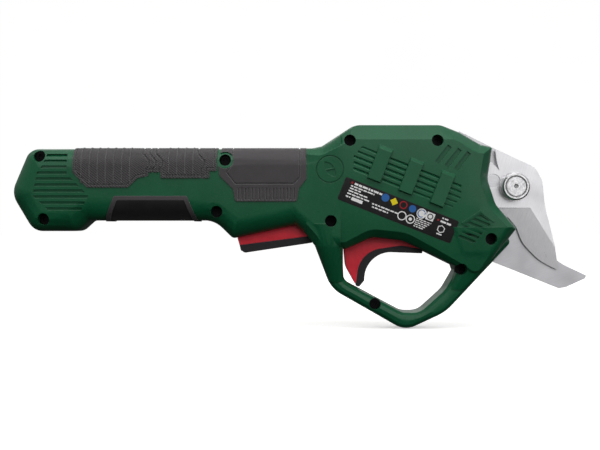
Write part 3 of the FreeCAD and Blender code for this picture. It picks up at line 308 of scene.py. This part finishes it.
def soft_rubber(name, colour, sizes, ridges=False, grain_depth=0.012, roughness=0.62,
                frame_colour=None):
    """Thermoplastic rubber moulded over the handle: matt and slightly dusty, with a leathery
    grain and edges painted paler, partly as wear and partly as painted highlight; the upper grip also
    carries fine crossed ridges like fish scale, with painted shade in their valleys."""
    material, tree, shader = new_material(name, IOR=1.5, Specular_IOR_Level=0.4,
                                          Sheen_Weight=0.12, Sheen_Roughness=0.5)
    place = millimetres(tree)
    normal, edges = rounded_normal(tree, sizes.edge * 1.3)
    leather = add_node(tree, "ShaderNodeTexVoronoi", {"feature": "F1"},
                       {"Vector": place, "Scale": 1 / 0.45}).outputs["Distance"]
    dust = noise(tree, place, 9.0, 4.0, 0.6)
    body = blend_colours(tree, spread(tree, dust, 0.3, 0.75), shade(colour, 0.86), shade(colour, 1.14))
    relief = maths(tree, "MULTIPLY", leather, 0.25)
    if ridges:
        axes = add_node(tree, "ShaderNodeSeparateXYZ", None, {0: place}).outputs
        width = maths(tree, "ABSOLUTE", axes["Y"])
        climb = maths(tree, "SUBTRACT", axes["Z"], width)
        pitch = 2 * math.pi / (sizes.ridge / MM)
        sets = []
        for slope, share in ((0.8, 0.62), (-1.3, 0.38)):
            run = maths(tree, "MULTIPLY_ADD", axes["X"], slope, climb)
            wave = maths(tree, "SINE", maths(tree, "MULTIPLY", run, pitch * 0.8))
            sets.append(maths(tree, "MULTIPLY", wave, share))
        scales = maths(tree, "ADD", sets[0], sets[1])
        # painted shade and highlight: the ridge valleys are painted darker and the crests a little
        # paler, following the ridge relief
        body = blend_colours(tree, spread(tree, scales, -0.5, 0.9, 0.0, 0.55), shade(colour, 0.7),
                             lift(colour, 0.06))
        relief = maths(tree, "ADD", relief, maths(tree, "MULTIPLY", scales, 9.0))
    if frame_colour:
        body = blend_colours(tree, palm_field(tree, place), frame_colour, body)
    # partly wear and partly painted highlight: moulded edges and groove rims are painted paler, like the
    # light lines they catch
    worn = blend_colours(tree, maths(tree, "MULTIPLY", edges, 0.75), body, lift(colour, 0.2))
    tree.links.new(worn, shader.inputs["Base Color"])
    tree.links.new(spread(tree, dust, 0.3, 0.7, roughness - 0.05, roughness + 0.07),
                   shader.inputs["Roughness"])
    tree.links.new(bump(tree, relief, grain_depth, normal), shader.inputs["Normal"])
    return material


def glossy_abs(name, colour, sizes):
    """Polished ABS: deep even colour under a soft gloss, with hairline scuffs where fingers rub."""
    material, tree, shader = new_material(name, IOR=1.54, Specular_IOR_Level=0.5)
    place = millimetres(tree)
    normal, edges = rounded_normal(tree, sizes.edge * 2)
    rub = noise(tree, place, 4.0, 5.0, 0.6)
    body = blend_colours(tree, spread(tree, rub, 0.3, 0.7), shade(colour, 0.9), shade(colour, 1.08))
    worn = blend_colours(tree, maths(tree, "MULTIPLY", edges, 0.35), body, lift(colour, 0.12))
    tree.links.new(worn, shader.inputs["Base Color"])
    tree.links.new(spread(tree, rub, 0.3, 0.7, 0.3, 0.42), shader.inputs["Roughness"])
    tree.links.new(bump(tree, noise(tree, place, 0.5), 0.006, normal), shader.inputs["Normal"])
    return material


def ground_steel(name, colour, sizes, along, roughness=0.3):
    """Hardened steel ground flat: fine parallel lines along one direction, a soft bright sheen,
    and faint clouds left by handling."""
    material, tree, shader = new_material(name, Metallic=1.0, Anisotropic=0.35)
    place = millimetres(tree)
    turn = add_node(tree, "ShaderNodeMapping", None,
                    {"Vector": place, "Rotation": (0.0, math.radians(along), 0.0)}).outputs[0]
    stretch = add_node(tree, "ShaderNodeVectorMath", {"operation": "MULTIPLY"},
                       {0: turn, 1: (0.03, 1.0, 1.0)}).outputs[0]
    lines = noise(tree, stretch, sizes.brush / MM, 3.0, 0.6)
    clouds = noise(tree, place, 14.0, 3.0, 0.5)
    normal, edges = rounded_normal(tree, sizes.edge * 0.4)
    body = blend_colours(tree, spread(tree, lines, 0.3, 0.7), shade(colour, 0.86), colour)
    tinted = blend_colours(tree, spread(tree, clouds, 0.35, 0.75, 0.0, 0.35), body, shade(colour, 0.8))
    tree.links.new(tinted, shader.inputs["Base Color"])
    dull = maths(tree, "ADD", spread(tree, lines, 0.3, 0.7, roughness, roughness + 0.12),
                 spread(tree, clouds, 0.3, 0.7, -0.04, 0.06))
    tree.links.new(maths(tree, "SUBTRACT", dull, maths(tree, "MULTIPLY", edges, 0.12)),
                   shader.inputs["Roughness"])
    tree.links.new(bump(tree, lines, 0.004, normal), shader.inputs["Normal"])
    return material


def turned_steel(name, colour, centre_mm, roughness=0.26, groove_mm=6.6):
    """Lathe-faced steel: fine rings round the axis that catch the light in two bright fans, with
    a turned groove near the rim and a centre mark, both painted dark as painted shade."""
    material, tree, shader = new_material(name, Metallic=1.0)
    place = millimetres(tree)
    local = add_node(tree, "ShaderNodeVectorMath", {"operation": "SUBTRACT"},
                     {0: place, 1: (centre_mm[0], 0.0, centre_mm[1])}).outputs[0]
    flat = add_node(tree, "ShaderNodeVectorMath", {"operation": "MULTIPLY"},
                    {0: local, 1: (1.0, 0.0, 1.0)}).outputs[0]
    radius = add_node(tree, "ShaderNodeVectorMath", {"operation": "LENGTH"}, {0: flat}).outputs["Value"]
    depth = add_node(tree, "ShaderNodeSeparateXYZ", None, {0: local}).outputs["Y"]
    ring_place = add_node(tree, "ShaderNodeCombineXYZ", None, {0: radius, 1: depth}).outputs[0]
    rings = noise(tree, ring_place, 0.3, 4.0, 0.7)
    smears = noise(tree, local, 2.4, 4.0, 0.6)
    body = blend_colours(tree, spread(tree, smears, 0.35, 0.7), colour, shade(colour, 0.62))
    lined = blend_colours(tree, spread(tree, rings, 0.45, 0.75, 0.0, 0.6), body, shade(colour, 0.55))
    # painted shade: the groove near the rim and the centre mark are painted dark, as the shade in these
    # recesses; the same mask also cuts them into the bump
    groove = maths(tree, "ABSOLUTE", maths(tree, "SUBTRACT", radius, groove_mm))
    cut = maths(tree, "MAXIMUM", spread(tree, groove, 0.45, 0.2), spread(tree, radius, 1.5, 0.9))
    groove_shaded = blend_colours(tree, cut, lined, shade(colour, 0.3))
    tree.links.new(groove_shaded, shader.inputs["Base Color"])
    dullness = spread(tree, smears, 0.3, 0.7, roughness, roughness + 0.18)
    tree.links.new(dullness, shader.inputs["Roughness"])
    relief = maths(tree, "ADD", rings, maths(tree, "MULTIPLY", smears, 1.6))
    cut_relief = maths(tree, "SUBTRACT", relief, maths(tree, "MULTIPLY", cut, 9.0))
    tree.links.new(bump(tree, cut_relief, 0.03), shader.inputs["Normal"])
    return material


def plain_metal(name, code, roughness, spacing_mm=1.2, relief_mm=0.01, contrast=0.2):
    """Metal parts in bulk finishes, such as die-cast zinc, nickel strip or black oxide: an even
    metallic sheen, broken by fine mottling of the given spacing."""
    colour = srgb(code)
    material, tree, shader = new_material(name, Metallic=1.0)
    place = millimetres(tree)
    mottle = noise(tree, place, spacing_mm, 4.0, 0.6)
    body = blend_colours(tree, spread(tree, mottle, 0.3, 0.7), shade(colour, 1 - contrast), colour)
    tree.links.new(body, shader.inputs["Base Color"])
    dullness = spread(tree, mottle, 0.3, 0.7, roughness, roughness + 0.15)
    tree.links.new(dullness, shader.inputs["Roughness"])
    tree.links.new(bump(tree, mottle, relief_mm), shader.inputs["Normal"])
    return material


def plain_polymer(name, code, roughness, spacing_mm=2.0, relief_mm=0.008, contrast=0.15):
    """Moulded, dipped or wrapped plastics and board laminate: a mild shine over a colour that
    wanders a little."""
    colour = srgb(code)
    material, tree, shader = new_material(name, IOR=1.5)
    place = millimetres(tree)
    mottle = noise(tree, place, spacing_mm, 4.0, 0.6)
    body = blend_colours(tree, spread(tree, mottle, 0.3, 0.7), shade(colour, 1 - contrast),
                         shade(colour, 1 + contrast))
    tree.links.new(body, shader.inputs["Base Color"])
    dullness = spread(tree, mottle, 0.3, 0.7, roughness, roughness + 0.12)
    tree.links.new(dullness, shader.inputs["Roughness"])
    tree.links.new(bump(tree, mottle, relief_mm), shader.inputs["Normal"])
    return material


def printed_ink(name, colour):
    """Screen-printed ink: a flat, slightly chalky coat that thins in tiny specks."""
    material, tree, shader = new_material(name, IOR=1.48, Specular_IOR_Level=0.3)
    place = millimetres(tree)
    specks = noise(tree, place, 0.25, 3.0, 0.7)
    body = blend_colours(tree, spread(tree, specks, 0.55, 0.8, 0.0, 0.6), colour, shade(colour, 0.72))
    tree.links.new(body, shader.inputs["Base Color"])
    tree.links.new(spread(tree, specks, 0.3, 0.7, 0.45, 0.6), shader.inputs["Roughness"])
    return material


# ---- Housing, grips and controls -------------------------------------------------------------


class PRUNER_OT_housings(Operator):
    """Give both housing halves their moulded green nylon"""
    bl_idname = "pruner.housings"
    bl_label = "Housings"

    def execute(self, context):
        colours, sizes = pruner()
        nylon = moulded_nylon("green_moulded_nylon", colours.housing, sizes)
        for side in ("right", "left"):
            smoothed(side + "_housing", nylon)
        return {"FINISHED"}


class PRUNER_OT_grips(Operator):
    """Give the soft grips and the palm pad their rubber"""
    bl_idname = "pruner.grips"
    bl_label = "Soft grips"

    def execute(self, context):
        colours, sizes = pruner()
        ridged = soft_rubber("grey_ridged_rubber", colours.grip, sizes, ridges=True)
        plain = soft_rubber("grey_grained_rubber", colours.grip, sizes)
        pad = soft_rubber("black_grained_rubber", colours.palm, sizes, roughness=0.5,
                          frame_colour=colours.grip)
        for side in ("right", "left"):
            smoothed(side + "_upper_grip", ridged)
            smoothed(side + "_front_grip", plain)
            smoothed(side + "_palm_pad", pad)
        return {"FINISHED"}


class PRUNER_OT_controls(Operator):
    """Give the trigger and the safety lever their red plastic and black facings"""
    bl_idname = "pruner.controls"
    bl_label = "Trigger and safety lever"

    def execute(self, context):
        colours, sizes = pruner()
        finish(["trigger_lever", "safety_lever"], glossy_abs("red_polished_abs", colours.control, sizes))
        facing = soft_rubber("black_facing_rubber", colours.pad, sizes, roughness=0.55)
        finish(["trigger_pad", "safety_pad"], facing)
        return {"FINISHED"}


class PRUNER_OT_label(Operator):
    """Finish the label film and lay generic printed marks on it"""
    bl_idname = "pruner.label"
    bl_label = "Label"

    def execute(self, context):
        colours, sizes = pruner()
        finish(["rating_label"], moulded_nylon("black_label_film", colours.film, sizes, roughness=0.38,
                                               grain_depth=0.004, specular=0.25))
        inks = {
            "white": printed_ink("white_screen_ink", colours.ink),
            "blue": printed_ink("blue_screen_ink", colours.blue),
            "yellow": printed_ink("yellow_screen_ink", colours.yellow),
            "red": printed_ink("red_screen_ink", colours.red),
            "black": printed_ink("black_screen_ink", colours.film),
        }
        for ink, marks in label_marks().items():
            pieces = [print_mark(*mark) for mark in marks]
            lay_print("label_print_" + ink, pieces, sizes.ink * (2 if ink == "black" else 1), inks[ink])
        return {"FINISHED"}


LABEL_SLOPE = math.radians(-21.5)
SHORTEST_DASH = 1.1
DASH_SPREAD = 2.6
DASH_GAP = 0.5


def text_row(row, start, end, height, seed):
    """A row of short dashes in the label's slanted frame that reads as small type."""
    marks = []
    along = start
    while along < end - DASH_GAP:
        seed = (seed * 73 + 41) % 101
        length = min(SHORTEST_DASH + DASH_SPREAD * seed / 101, end - along)
        marks.append(("bar", along + length / 2, row, length, height))
        along += length + DASH_GAP
    return marks


def label_marks():
    """Ink name to marks: (kind, place along, place up, length or radius, height)."""
    white = text_row(5.4, -31.5, -13.0, 1.25, 7)
    white += text_row(3.5, -33.3, -17.5, 0.85, 19)
    white += text_row(1.9, -33.4, -25.5, 0.85, 3)
    white += text_row(0.2, -33.6, -21.0, 0.85, 31)
    white += text_row(-1.6, -33.8, -19.0, 0.85, 57)
    white += text_row(-3.6, -34.0, -31.0, 0.85, 44)
    white += [("bar", -26.4, -3.9, 7.4, 2.0)]
    white += text_row(-2.1, -16.8, 0.4, 0.85, 12)
    white += text_row(-4.0, -16.2, -5.4, 0.85, 66)
    white += [("ring", 3.4, -2.4, 2.9, 0), ("ring", 9.1, -2.4, 2.9, 0), ("disc", 9.1, -2.4, 1.1, 0)]
    white += [("disc", 14.4, 3.4, 3.2, 0), ("bar", 20.2, 3.6, 5.2, 5.0)]
    for index in range(5):
        white += text_row(-0.4 - 1.25 * index, 12.4, 22.4 - 0.9 * index, 0.6, 23 + 9 * index)
    white += text_row(5.6, 27.6, 31.6, 0.9, 5)
    white += text_row(3.4, 27.2, 35.0, 1.2, 52)
    white += [("hexagon", 29.4, -1.2, 2.6, 0), ("bar", 29.4, -4.6, 3.6, 0.8)]
    blue = [("disc", -10.4, 4.3, 2.5, 0), ("disc", 8.0, 4.1, 2.3, 0), ("ring", 14.4, 3.4, 2.6, 0)]
    yellow = [("diamond", -4.4, 4.0, 2.6, 0)]
    red = [("ring", 1.8, 4.2, 2.5, 0), ("bar", -33.2, 5.5, 1.2, 1.2), ("bar", 25.6, 3.6, 1.1, 1.1)]
    black = [("ring", 20.2, 3.6, 1.9, 0)]
    return {"white": white, "blue": blue, "yellow": yellow, "red": red, "black": black}


def print_mark(kind, along, up, size, height):
    """One flat mark, built facing the viewer and slanted with the label."""
    sides = {"bar": 4, "disc": 28, "ring": 28, "diamond": 4, "hexagon": 6}[kind]
    lowest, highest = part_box("rating_label")
    centre = (lowest + highest) / 2
    x = along * math.cos(LABEL_SLOPE) - up * math.sin(LABEL_SLOPE)
    z = along * math.sin(LABEL_SLOPE) + up * math.cos(LABEL_SLOPE)
    place = Vector((centre.x + x * MM, lowest.y - 4 * MM, centre.z + z * MM))
    if kind == "bar":
        bpy.ops.mesh.primitive_plane_add(size=1.0)
        piece = bpy.context.object
        piece.scale = (size * MM, height * MM, 1.0)
    else:
        bpy.ops.mesh.primitive_circle_add(vertices=sides, radius=size * MM, fill_type="NGON")
        piece = bpy.context.object
    piece.rotation_euler = (math.pi / 2, -LABEL_SLOPE, 0.0)
    piece.location = place
    settle(piece)
    if kind in ("ring", "hexagon"):
        bpy.ops.object.mode_set(mode="EDIT")
        bpy.ops.mesh.select_all(action="SELECT")
        bpy.ops.mesh.inset(thickness=0.62 * MM if kind == "ring" else 0.5 * MM)
        bpy.ops.mesh.delete(type="FACE")
        bpy.ops.object.mode_set(mode="OBJECT")
    return piece


def lay_print(name, pieces, height, material):
    """Join marks of one ink, press them onto the label and give them the ink's thickness."""
    bpy.ops.object.select_all(action="DESELECT")
    for piece in pieces:
        piece.select_set(True)
    bpy.context.view_layer.objects.active = pieces[0]
    if len(pieces) > 1:
        bpy.ops.object.join()
    sheet = bpy.context.object
    sheet.name = name
    sheet.data.name = name
    wrap = sheet.modifiers.new("press", "SHRINKWRAP")
    wrap.wrap_method = "PROJECT"
    wrap.use_project_y = True
    wrap.use_positive_direction = True
    wrap.use_negative_direction = False
    wrap.target = NODES["rating_label"]
    wrap.offset = 0.01 * MM
    thick = sheet.modifiers.new("coat", "SOLIDIFY")
    thick.thickness = height
    thick.offset = 1.0
    for modifier in ("press", "coat"):
        bpy.ops.object.modifier_apply(modifier=modifier)
    sheet.data.materials.clear()
    sheet.data.materials.append(material)
    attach(sheet, "tool")


# ---- Blades and pivot ------------------------------------------------------------------------


class PRUNER_OT_blades(Operator):
    """Give the moving blade and the fixed plate their ground steel"""
    bl_idname = "pruner.blades"
    bl_label = "Blades"

    def execute(self, context):
        colours, sizes = pruner()
        finish(["moving_blade"], ground_steel("ground_blade_steel", colours.steel, sizes, 74.0, 0.3))
        finish(["fixed_blade"], ground_steel("dull_plate_steel", colours.plate, sizes, 24.0, 0.38))
        return {"FINISHED"}


class PRUNER_OT_pivot(Operator):
    """Turn the pivot bolt and finish its nut and washers"""
    bl_idname = "pruner.pivot"
    bl_label = "Pivot bolt"

    def execute(self, context):
        colours = pruner()[0]
        lowest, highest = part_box("pivot_bolt")
        centre = (lowest + highest) / 2
        centre_mm = (centre.x / MM, centre.z / MM)
        turned = turned_steel("turned_bolt_steel", colours.bolt, centre_mm)
        finish(["pivot_nut", "pivot_washers", "pivot_bolt"], turned)
        return {"FINISHED"}


class PRUNER_OT_screws(Operator):
    """Blacken the housing screws and give the cross pins bright drawn steel"""
    bl_idname = "pruner.screws"
    bl_label = "Screws and pins"

    def execute(self, context):
        finish(["housing_screws"], plain_metal("black_oxide_steel", "#1C1B1D", 0.38, 0.8, 0.008))
        pin = plain_metal("drawn_pin_steel", "#DADADD", 0.28, 0.5, 0.004)
        finish(["trigger_pin", "safety_pin", "drive_pin"], pin)
        return {"FINISHED"}


# ---- Works inside ----------------------------------------------------------------------------


class PRUNER_OT_drive(Operator):
    """Finish the gears, shafts and gearbox"""
    bl_idname = "pruner.drive"
    bl_label = "Drive"

    def execute(self, context):
        gears = ["gear_sector", "output_shaft", "first_carrier", "motor_pinion"]
        gears += [f"{stage}_planet_{index}" for stage in ("first", "second") for index in (1, 2, 3)]
        finish(gears, plain_metal("sintered_gear_steel", "#8D8B88", 0.36, 0.35, 0.012, 0.3))
        finish(["output_bearing", "pivot_sleeve"],
               plain_metal("polished_bearing_steel", "#C6C7CB", 0.18, 0.6, 0.003))
        finish(["gearbox_housing", "gearbox_cover"],
               plain_metal("cast_zinc", "#A3A5A8", 0.48, 1.6, 0.03, 0.25))
        finish(["gearbox_screws"], plain_metal("zinc_plated_screw", "#B7B8B0", 0.32, 0.7, 0.006))
        return {"FINISHED"}


class PRUNER_OT_motor(Operator):
    """Finish the motor's can, magnets, rotor and end bell"""
    bl_idname = "pruner.motor"
    bl_label = "Motor"

    def execute(self, context):
        finish(["motor_can"], plain_metal("rolled_motor_can_steel", "#ABACAF", 0.34, 2.5, 0.006))
        finish(["motor_magnets"], plain_polymer("ferrite_magnet", "#2B2A2C", 0.7, 0.6, 0.02, 0.3))
        finish(["motor_rotor"], plain_metal("enamelled_copper_winding", "#B4643A", 0.35, 0.5, 0.05, 0.4))
        finish(["motor_brushes"], plain_polymer("carbon_brush", "#222124", 0.6, 0.4, 0.01, 0.3))
        finish(["motor_end_bell"], plain_polymer("black_end_bell_nylon", "#1D1D1F", 0.5, 1.0, 0.015))
        return {"FINISHED"}


class PRUNER_OT_battery(Operator):
    """Finish the cells, their holder and the welded strips"""
    bl_idname = "pruner.battery"
    bl_label = "Battery"

    def execute(self, context):
        finish(["upper_cell", "lower_cell"],
               plain_polymer("shrink_wrapped_cell", "#2F6E7A", 0.32, 6.0, 0.02))
        finish(["cell_holder"], plain_polymer("black_holder_nylon", "#1E1E20", 0.5, 1.0, 0.015))
        finish(["nickel_strips"], plain_metal("nickel_strip", "#C9C3B4", 0.3, 1.5, 0.01))
        return {"FINISHED"}


class PRUNER_OT_electronics(Operator):
    """Finish the control board, its parts, the switches and the charge socket"""
    bl_idname = "pruner.electronics"
    bl_label = "Controls and board"

    def execute(self, context):
        finish(["control_board"], plain_polymer("green_solder_mask", "#1F5A38", 0.35, 1.2, 0.02, 0.25))
        finish(["board_parts"], plain_polymer("black_component_epoxy", "#232326", 0.45, 0.7, 0.01))
        finish(["heat_sink"], plain_metal("extruded_heat_sink", "#A9ABAE", 0.35, 1.5, 0.01))
        finish(["charge_socket"], plain_metal("stamped_socket_shell", "#BFC0C4", 0.28, 1.0, 0.006))
        switch = plain_polymer("black_switch_nylon", "#202023", 0.42, 0.9, 0.01)
        finish(["trigger_switch", "safety_switch", "trigger_plunger", "safety_plunger"], switch)
        finish(["trigger_spring", "safety_spring"],
               plain_metal("drawn_spring_steel", "#B3B4B7", 0.28, 0.6, 0.004))
        return {"FINISHED"}


class PRUNER_OT_wires(Operator):
    """Finish the wires"""
    bl_idname = "pruner.wires"
    bl_label = "Wires"

    def execute(self, context):
        finish(["battery_wires", "motor_wires", "switch_wires"],
               plain_polymer("red_wire_pvc", "#A8201F", 0.4, 1.5, 0.01))
        return {"FINISHED"}


# ---- Studio ------------------------------------------------------------------------------------


CAMERA_X = 71.5
CAMERA_Z = -24.7


class PRUNER_OT_stage(Operator):
    """Lay the pale floor and set the soft lights and the camera"""
    bl_idname = "pruner.stage"
    bl_label = "Studio"

    def execute(self, context):
        studio = context.scene.studio
        build_floor()
        build_sky(context.scene)
        aim = Vector((0.11, 0.0, 0.0))
        softbox("key_softbox", (0.1, -0.3, 0.8), aim, 0.9, 0.5, studio.key)
        softbox("front_softbox", (0.05, -0.9, 0.4), aim, 0.9, 0.5, studio.fill)
        softbox("back_softbox", (0.05, 0.9, 0.4), aim, 0.9, 0.5, studio.back)
        blades = Vector((0.225, 0.0, -0.01))
        softbox("blade_softbox", (0.52, -0.75, 0.06), blades, 0.4, 0.6, studio.rim)
        lens = bpy.data.cameras.new("camera")
        lens.lens = studio.lens
        camera = bpy.data.objects.new("camera", lens)
        camera.location = (CAMERA_X * MM, -studio.distance, CAMERA_Z * MM)
        camera.rotation_euler = (math.pi / 2, 0.0, 0.0)
        context.scene.collection.objects.link(camera)
        context.scene.camera = camera
        context.scene.view_settings.view_transform = "Standard"
        return {"FINISHED"}


def build_floor():
    """A wide pale floor just under the guard, and a white backdrop that only the camera sees."""
    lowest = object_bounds()[0]
    bpy.ops.mesh.primitive_circle_add(vertices=64, radius=40.0, fill_type="NGON",
                                      location=(0.0, 0.0, lowest[2] - 0.4 * MM))
    floor = bpy.context.object
    floor.name = "floor"
    settle(floor)
    material, tree, shader = new_material("pale_matt_floor", Roughness=0.9, Specular_IOR_Level=0.1,
                                          Emission_Strength=0.55)
    place = millimetres(tree)
    shader_colour = blend_colours(tree, noise(tree, place, 60.0), srgb("#F4F4F3"), srgb("#F8F8F7"))
    tree.links.new(shader_colour, shader.inputs["Base Color"])
    tree.links.new(shader_colour, shader.inputs["Emission Color"])
    floor.data.materials.append(material)
    hide_from_bounces(floor)
    floor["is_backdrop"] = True
    bpy.ops.mesh.primitive_plane_add(size=30.0, location=(0.0, 6.0, 0.0),
                                     rotation=(math.pi / 2, 0.0, 0.0))
    backdrop = bpy.context.object
    backdrop.name = "backdrop"
    settle(backdrop)
    paper, tree, shader = new_material("white_backdrop_paper", Roughness=0.9, Emission_Strength=1.0)
    shader.inputs["Base Color"].default_value = (0.0, 0.0, 0.0, 1.0)
    clouds = noise(tree, millimetres(tree), 900.0)
    white = blend_colours(tree, clouds, srgb("#FEFEFE"), srgb("#FFFFFF"))
    tree.links.new(white, shader.inputs["Emission Color"])
    backdrop.data.materials.append(paper)
    hide_from_bounces(backdrop)
    backdrop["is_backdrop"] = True


def hide_from_bounces(piece):
    """Seen by the camera, but throws no light back onto the tool."""
    piece.visible_diffuse = False
    piece.visible_glossy = False


def build_sky(scene):
    """Light from above that fades away towards the floor, as in a light tent."""
    world = bpy.data.worlds.new("light_tent")
    scene.world = world
    world.use_nodes = True
    tree = world.node_tree
    background = tree.nodes["Background"]
    direction = add_node(tree, "ShaderNodeTexCoord").outputs["Generated"]
    height = add_node(tree, "ShaderNodeSeparateXYZ", None, {0: direction}).outputs["Z"]
    level = spread(tree, height, -0.3, 0.8, 0.03, 0.7)
    background.inputs["Color"].default_value = (1.0, 1.0, 1.0, 1.0)
    tree.links.new(level, background.inputs["Strength"])


def softbox(name, place, aim, width, height, power):
    light = bpy.data.lights.new(name, "AREA")
    light.shape = "RECTANGLE"
    light.size = width
    light.size_y = height
    light.energy = power
    lamp = bpy.data.objects.new(name, light)
    lamp.location = place
    lamp.rotation_euler = (Vector(place) - aim).to_track_quat("Z", "Y").to_euler()
    lamp.visible_camera = False
    bpy.context.scene.collection.objects.link(lamp)


# ---- Panel and registration --------------------------------------------------------------------

OPERATORS = (
    PRUNER_OT_housings, PRUNER_OT_grips, PRUNER_OT_controls, PRUNER_OT_label, PRUNER_OT_blades,
    PRUNER_OT_pivot, PRUNER_OT_screws, PRUNER_OT_drive, PRUNER_OT_motor, PRUNER_OT_battery,
    PRUNER_OT_electronics, PRUNER_OT_wires, PRUNER_OT_stage)


class PRUNER_PT_panel(Panel):
    """Lists the pruner's colours, sizes and building steps"""
    bl_idname = "PRUNER_PT_panel"
    bl_label = "Pruner"
    bl_space_type = "VIEW_3D"
    bl_region_type = "UI"
    bl_category = "Pruner"

    def draw(self, context):
        layout = self.layout
        scene = context.scene
        for group in (scene.pruner_colours, scene.pruner_sizes, scene.studio):
            box = layout.box()
            for name in group.__annotations__:
                box.prop(group, name)
        for operator in OPERATORS:
            layout.operator(operator.bl_idname)


GROUPS = {"pruner_colours": PrunerColours, "pruner_sizes": PrunerSizes, "studio": StudioSettings}


def register():
    for name, group in GROUPS.items():
        bpy.utils.register_class(group)
        setattr(bpy.types.Scene, name, PointerProperty(type=group))
    for operator in OPERATORS:
        bpy.utils.register_class(operator)
    bpy.utils.register_class(PRUNER_PT_panel)


def unregister():
    bpy.utils.unregister_class(PRUNER_PT_panel)
    for operator in reversed(OPERATORS):
        bpy.utils.unregister_class(operator)
    for name, group in GROUPS.items():
        delattr(bpy.types.Scene, name)
        bpy.utils.unregister_class(group)


def main():
    register()
    for operator in OPERATORS:
        family, step = operator.bl_idname.split(".")
        getattr(getattr(bpy.ops, family), step)()


if __name__ == "__main__":
    main()
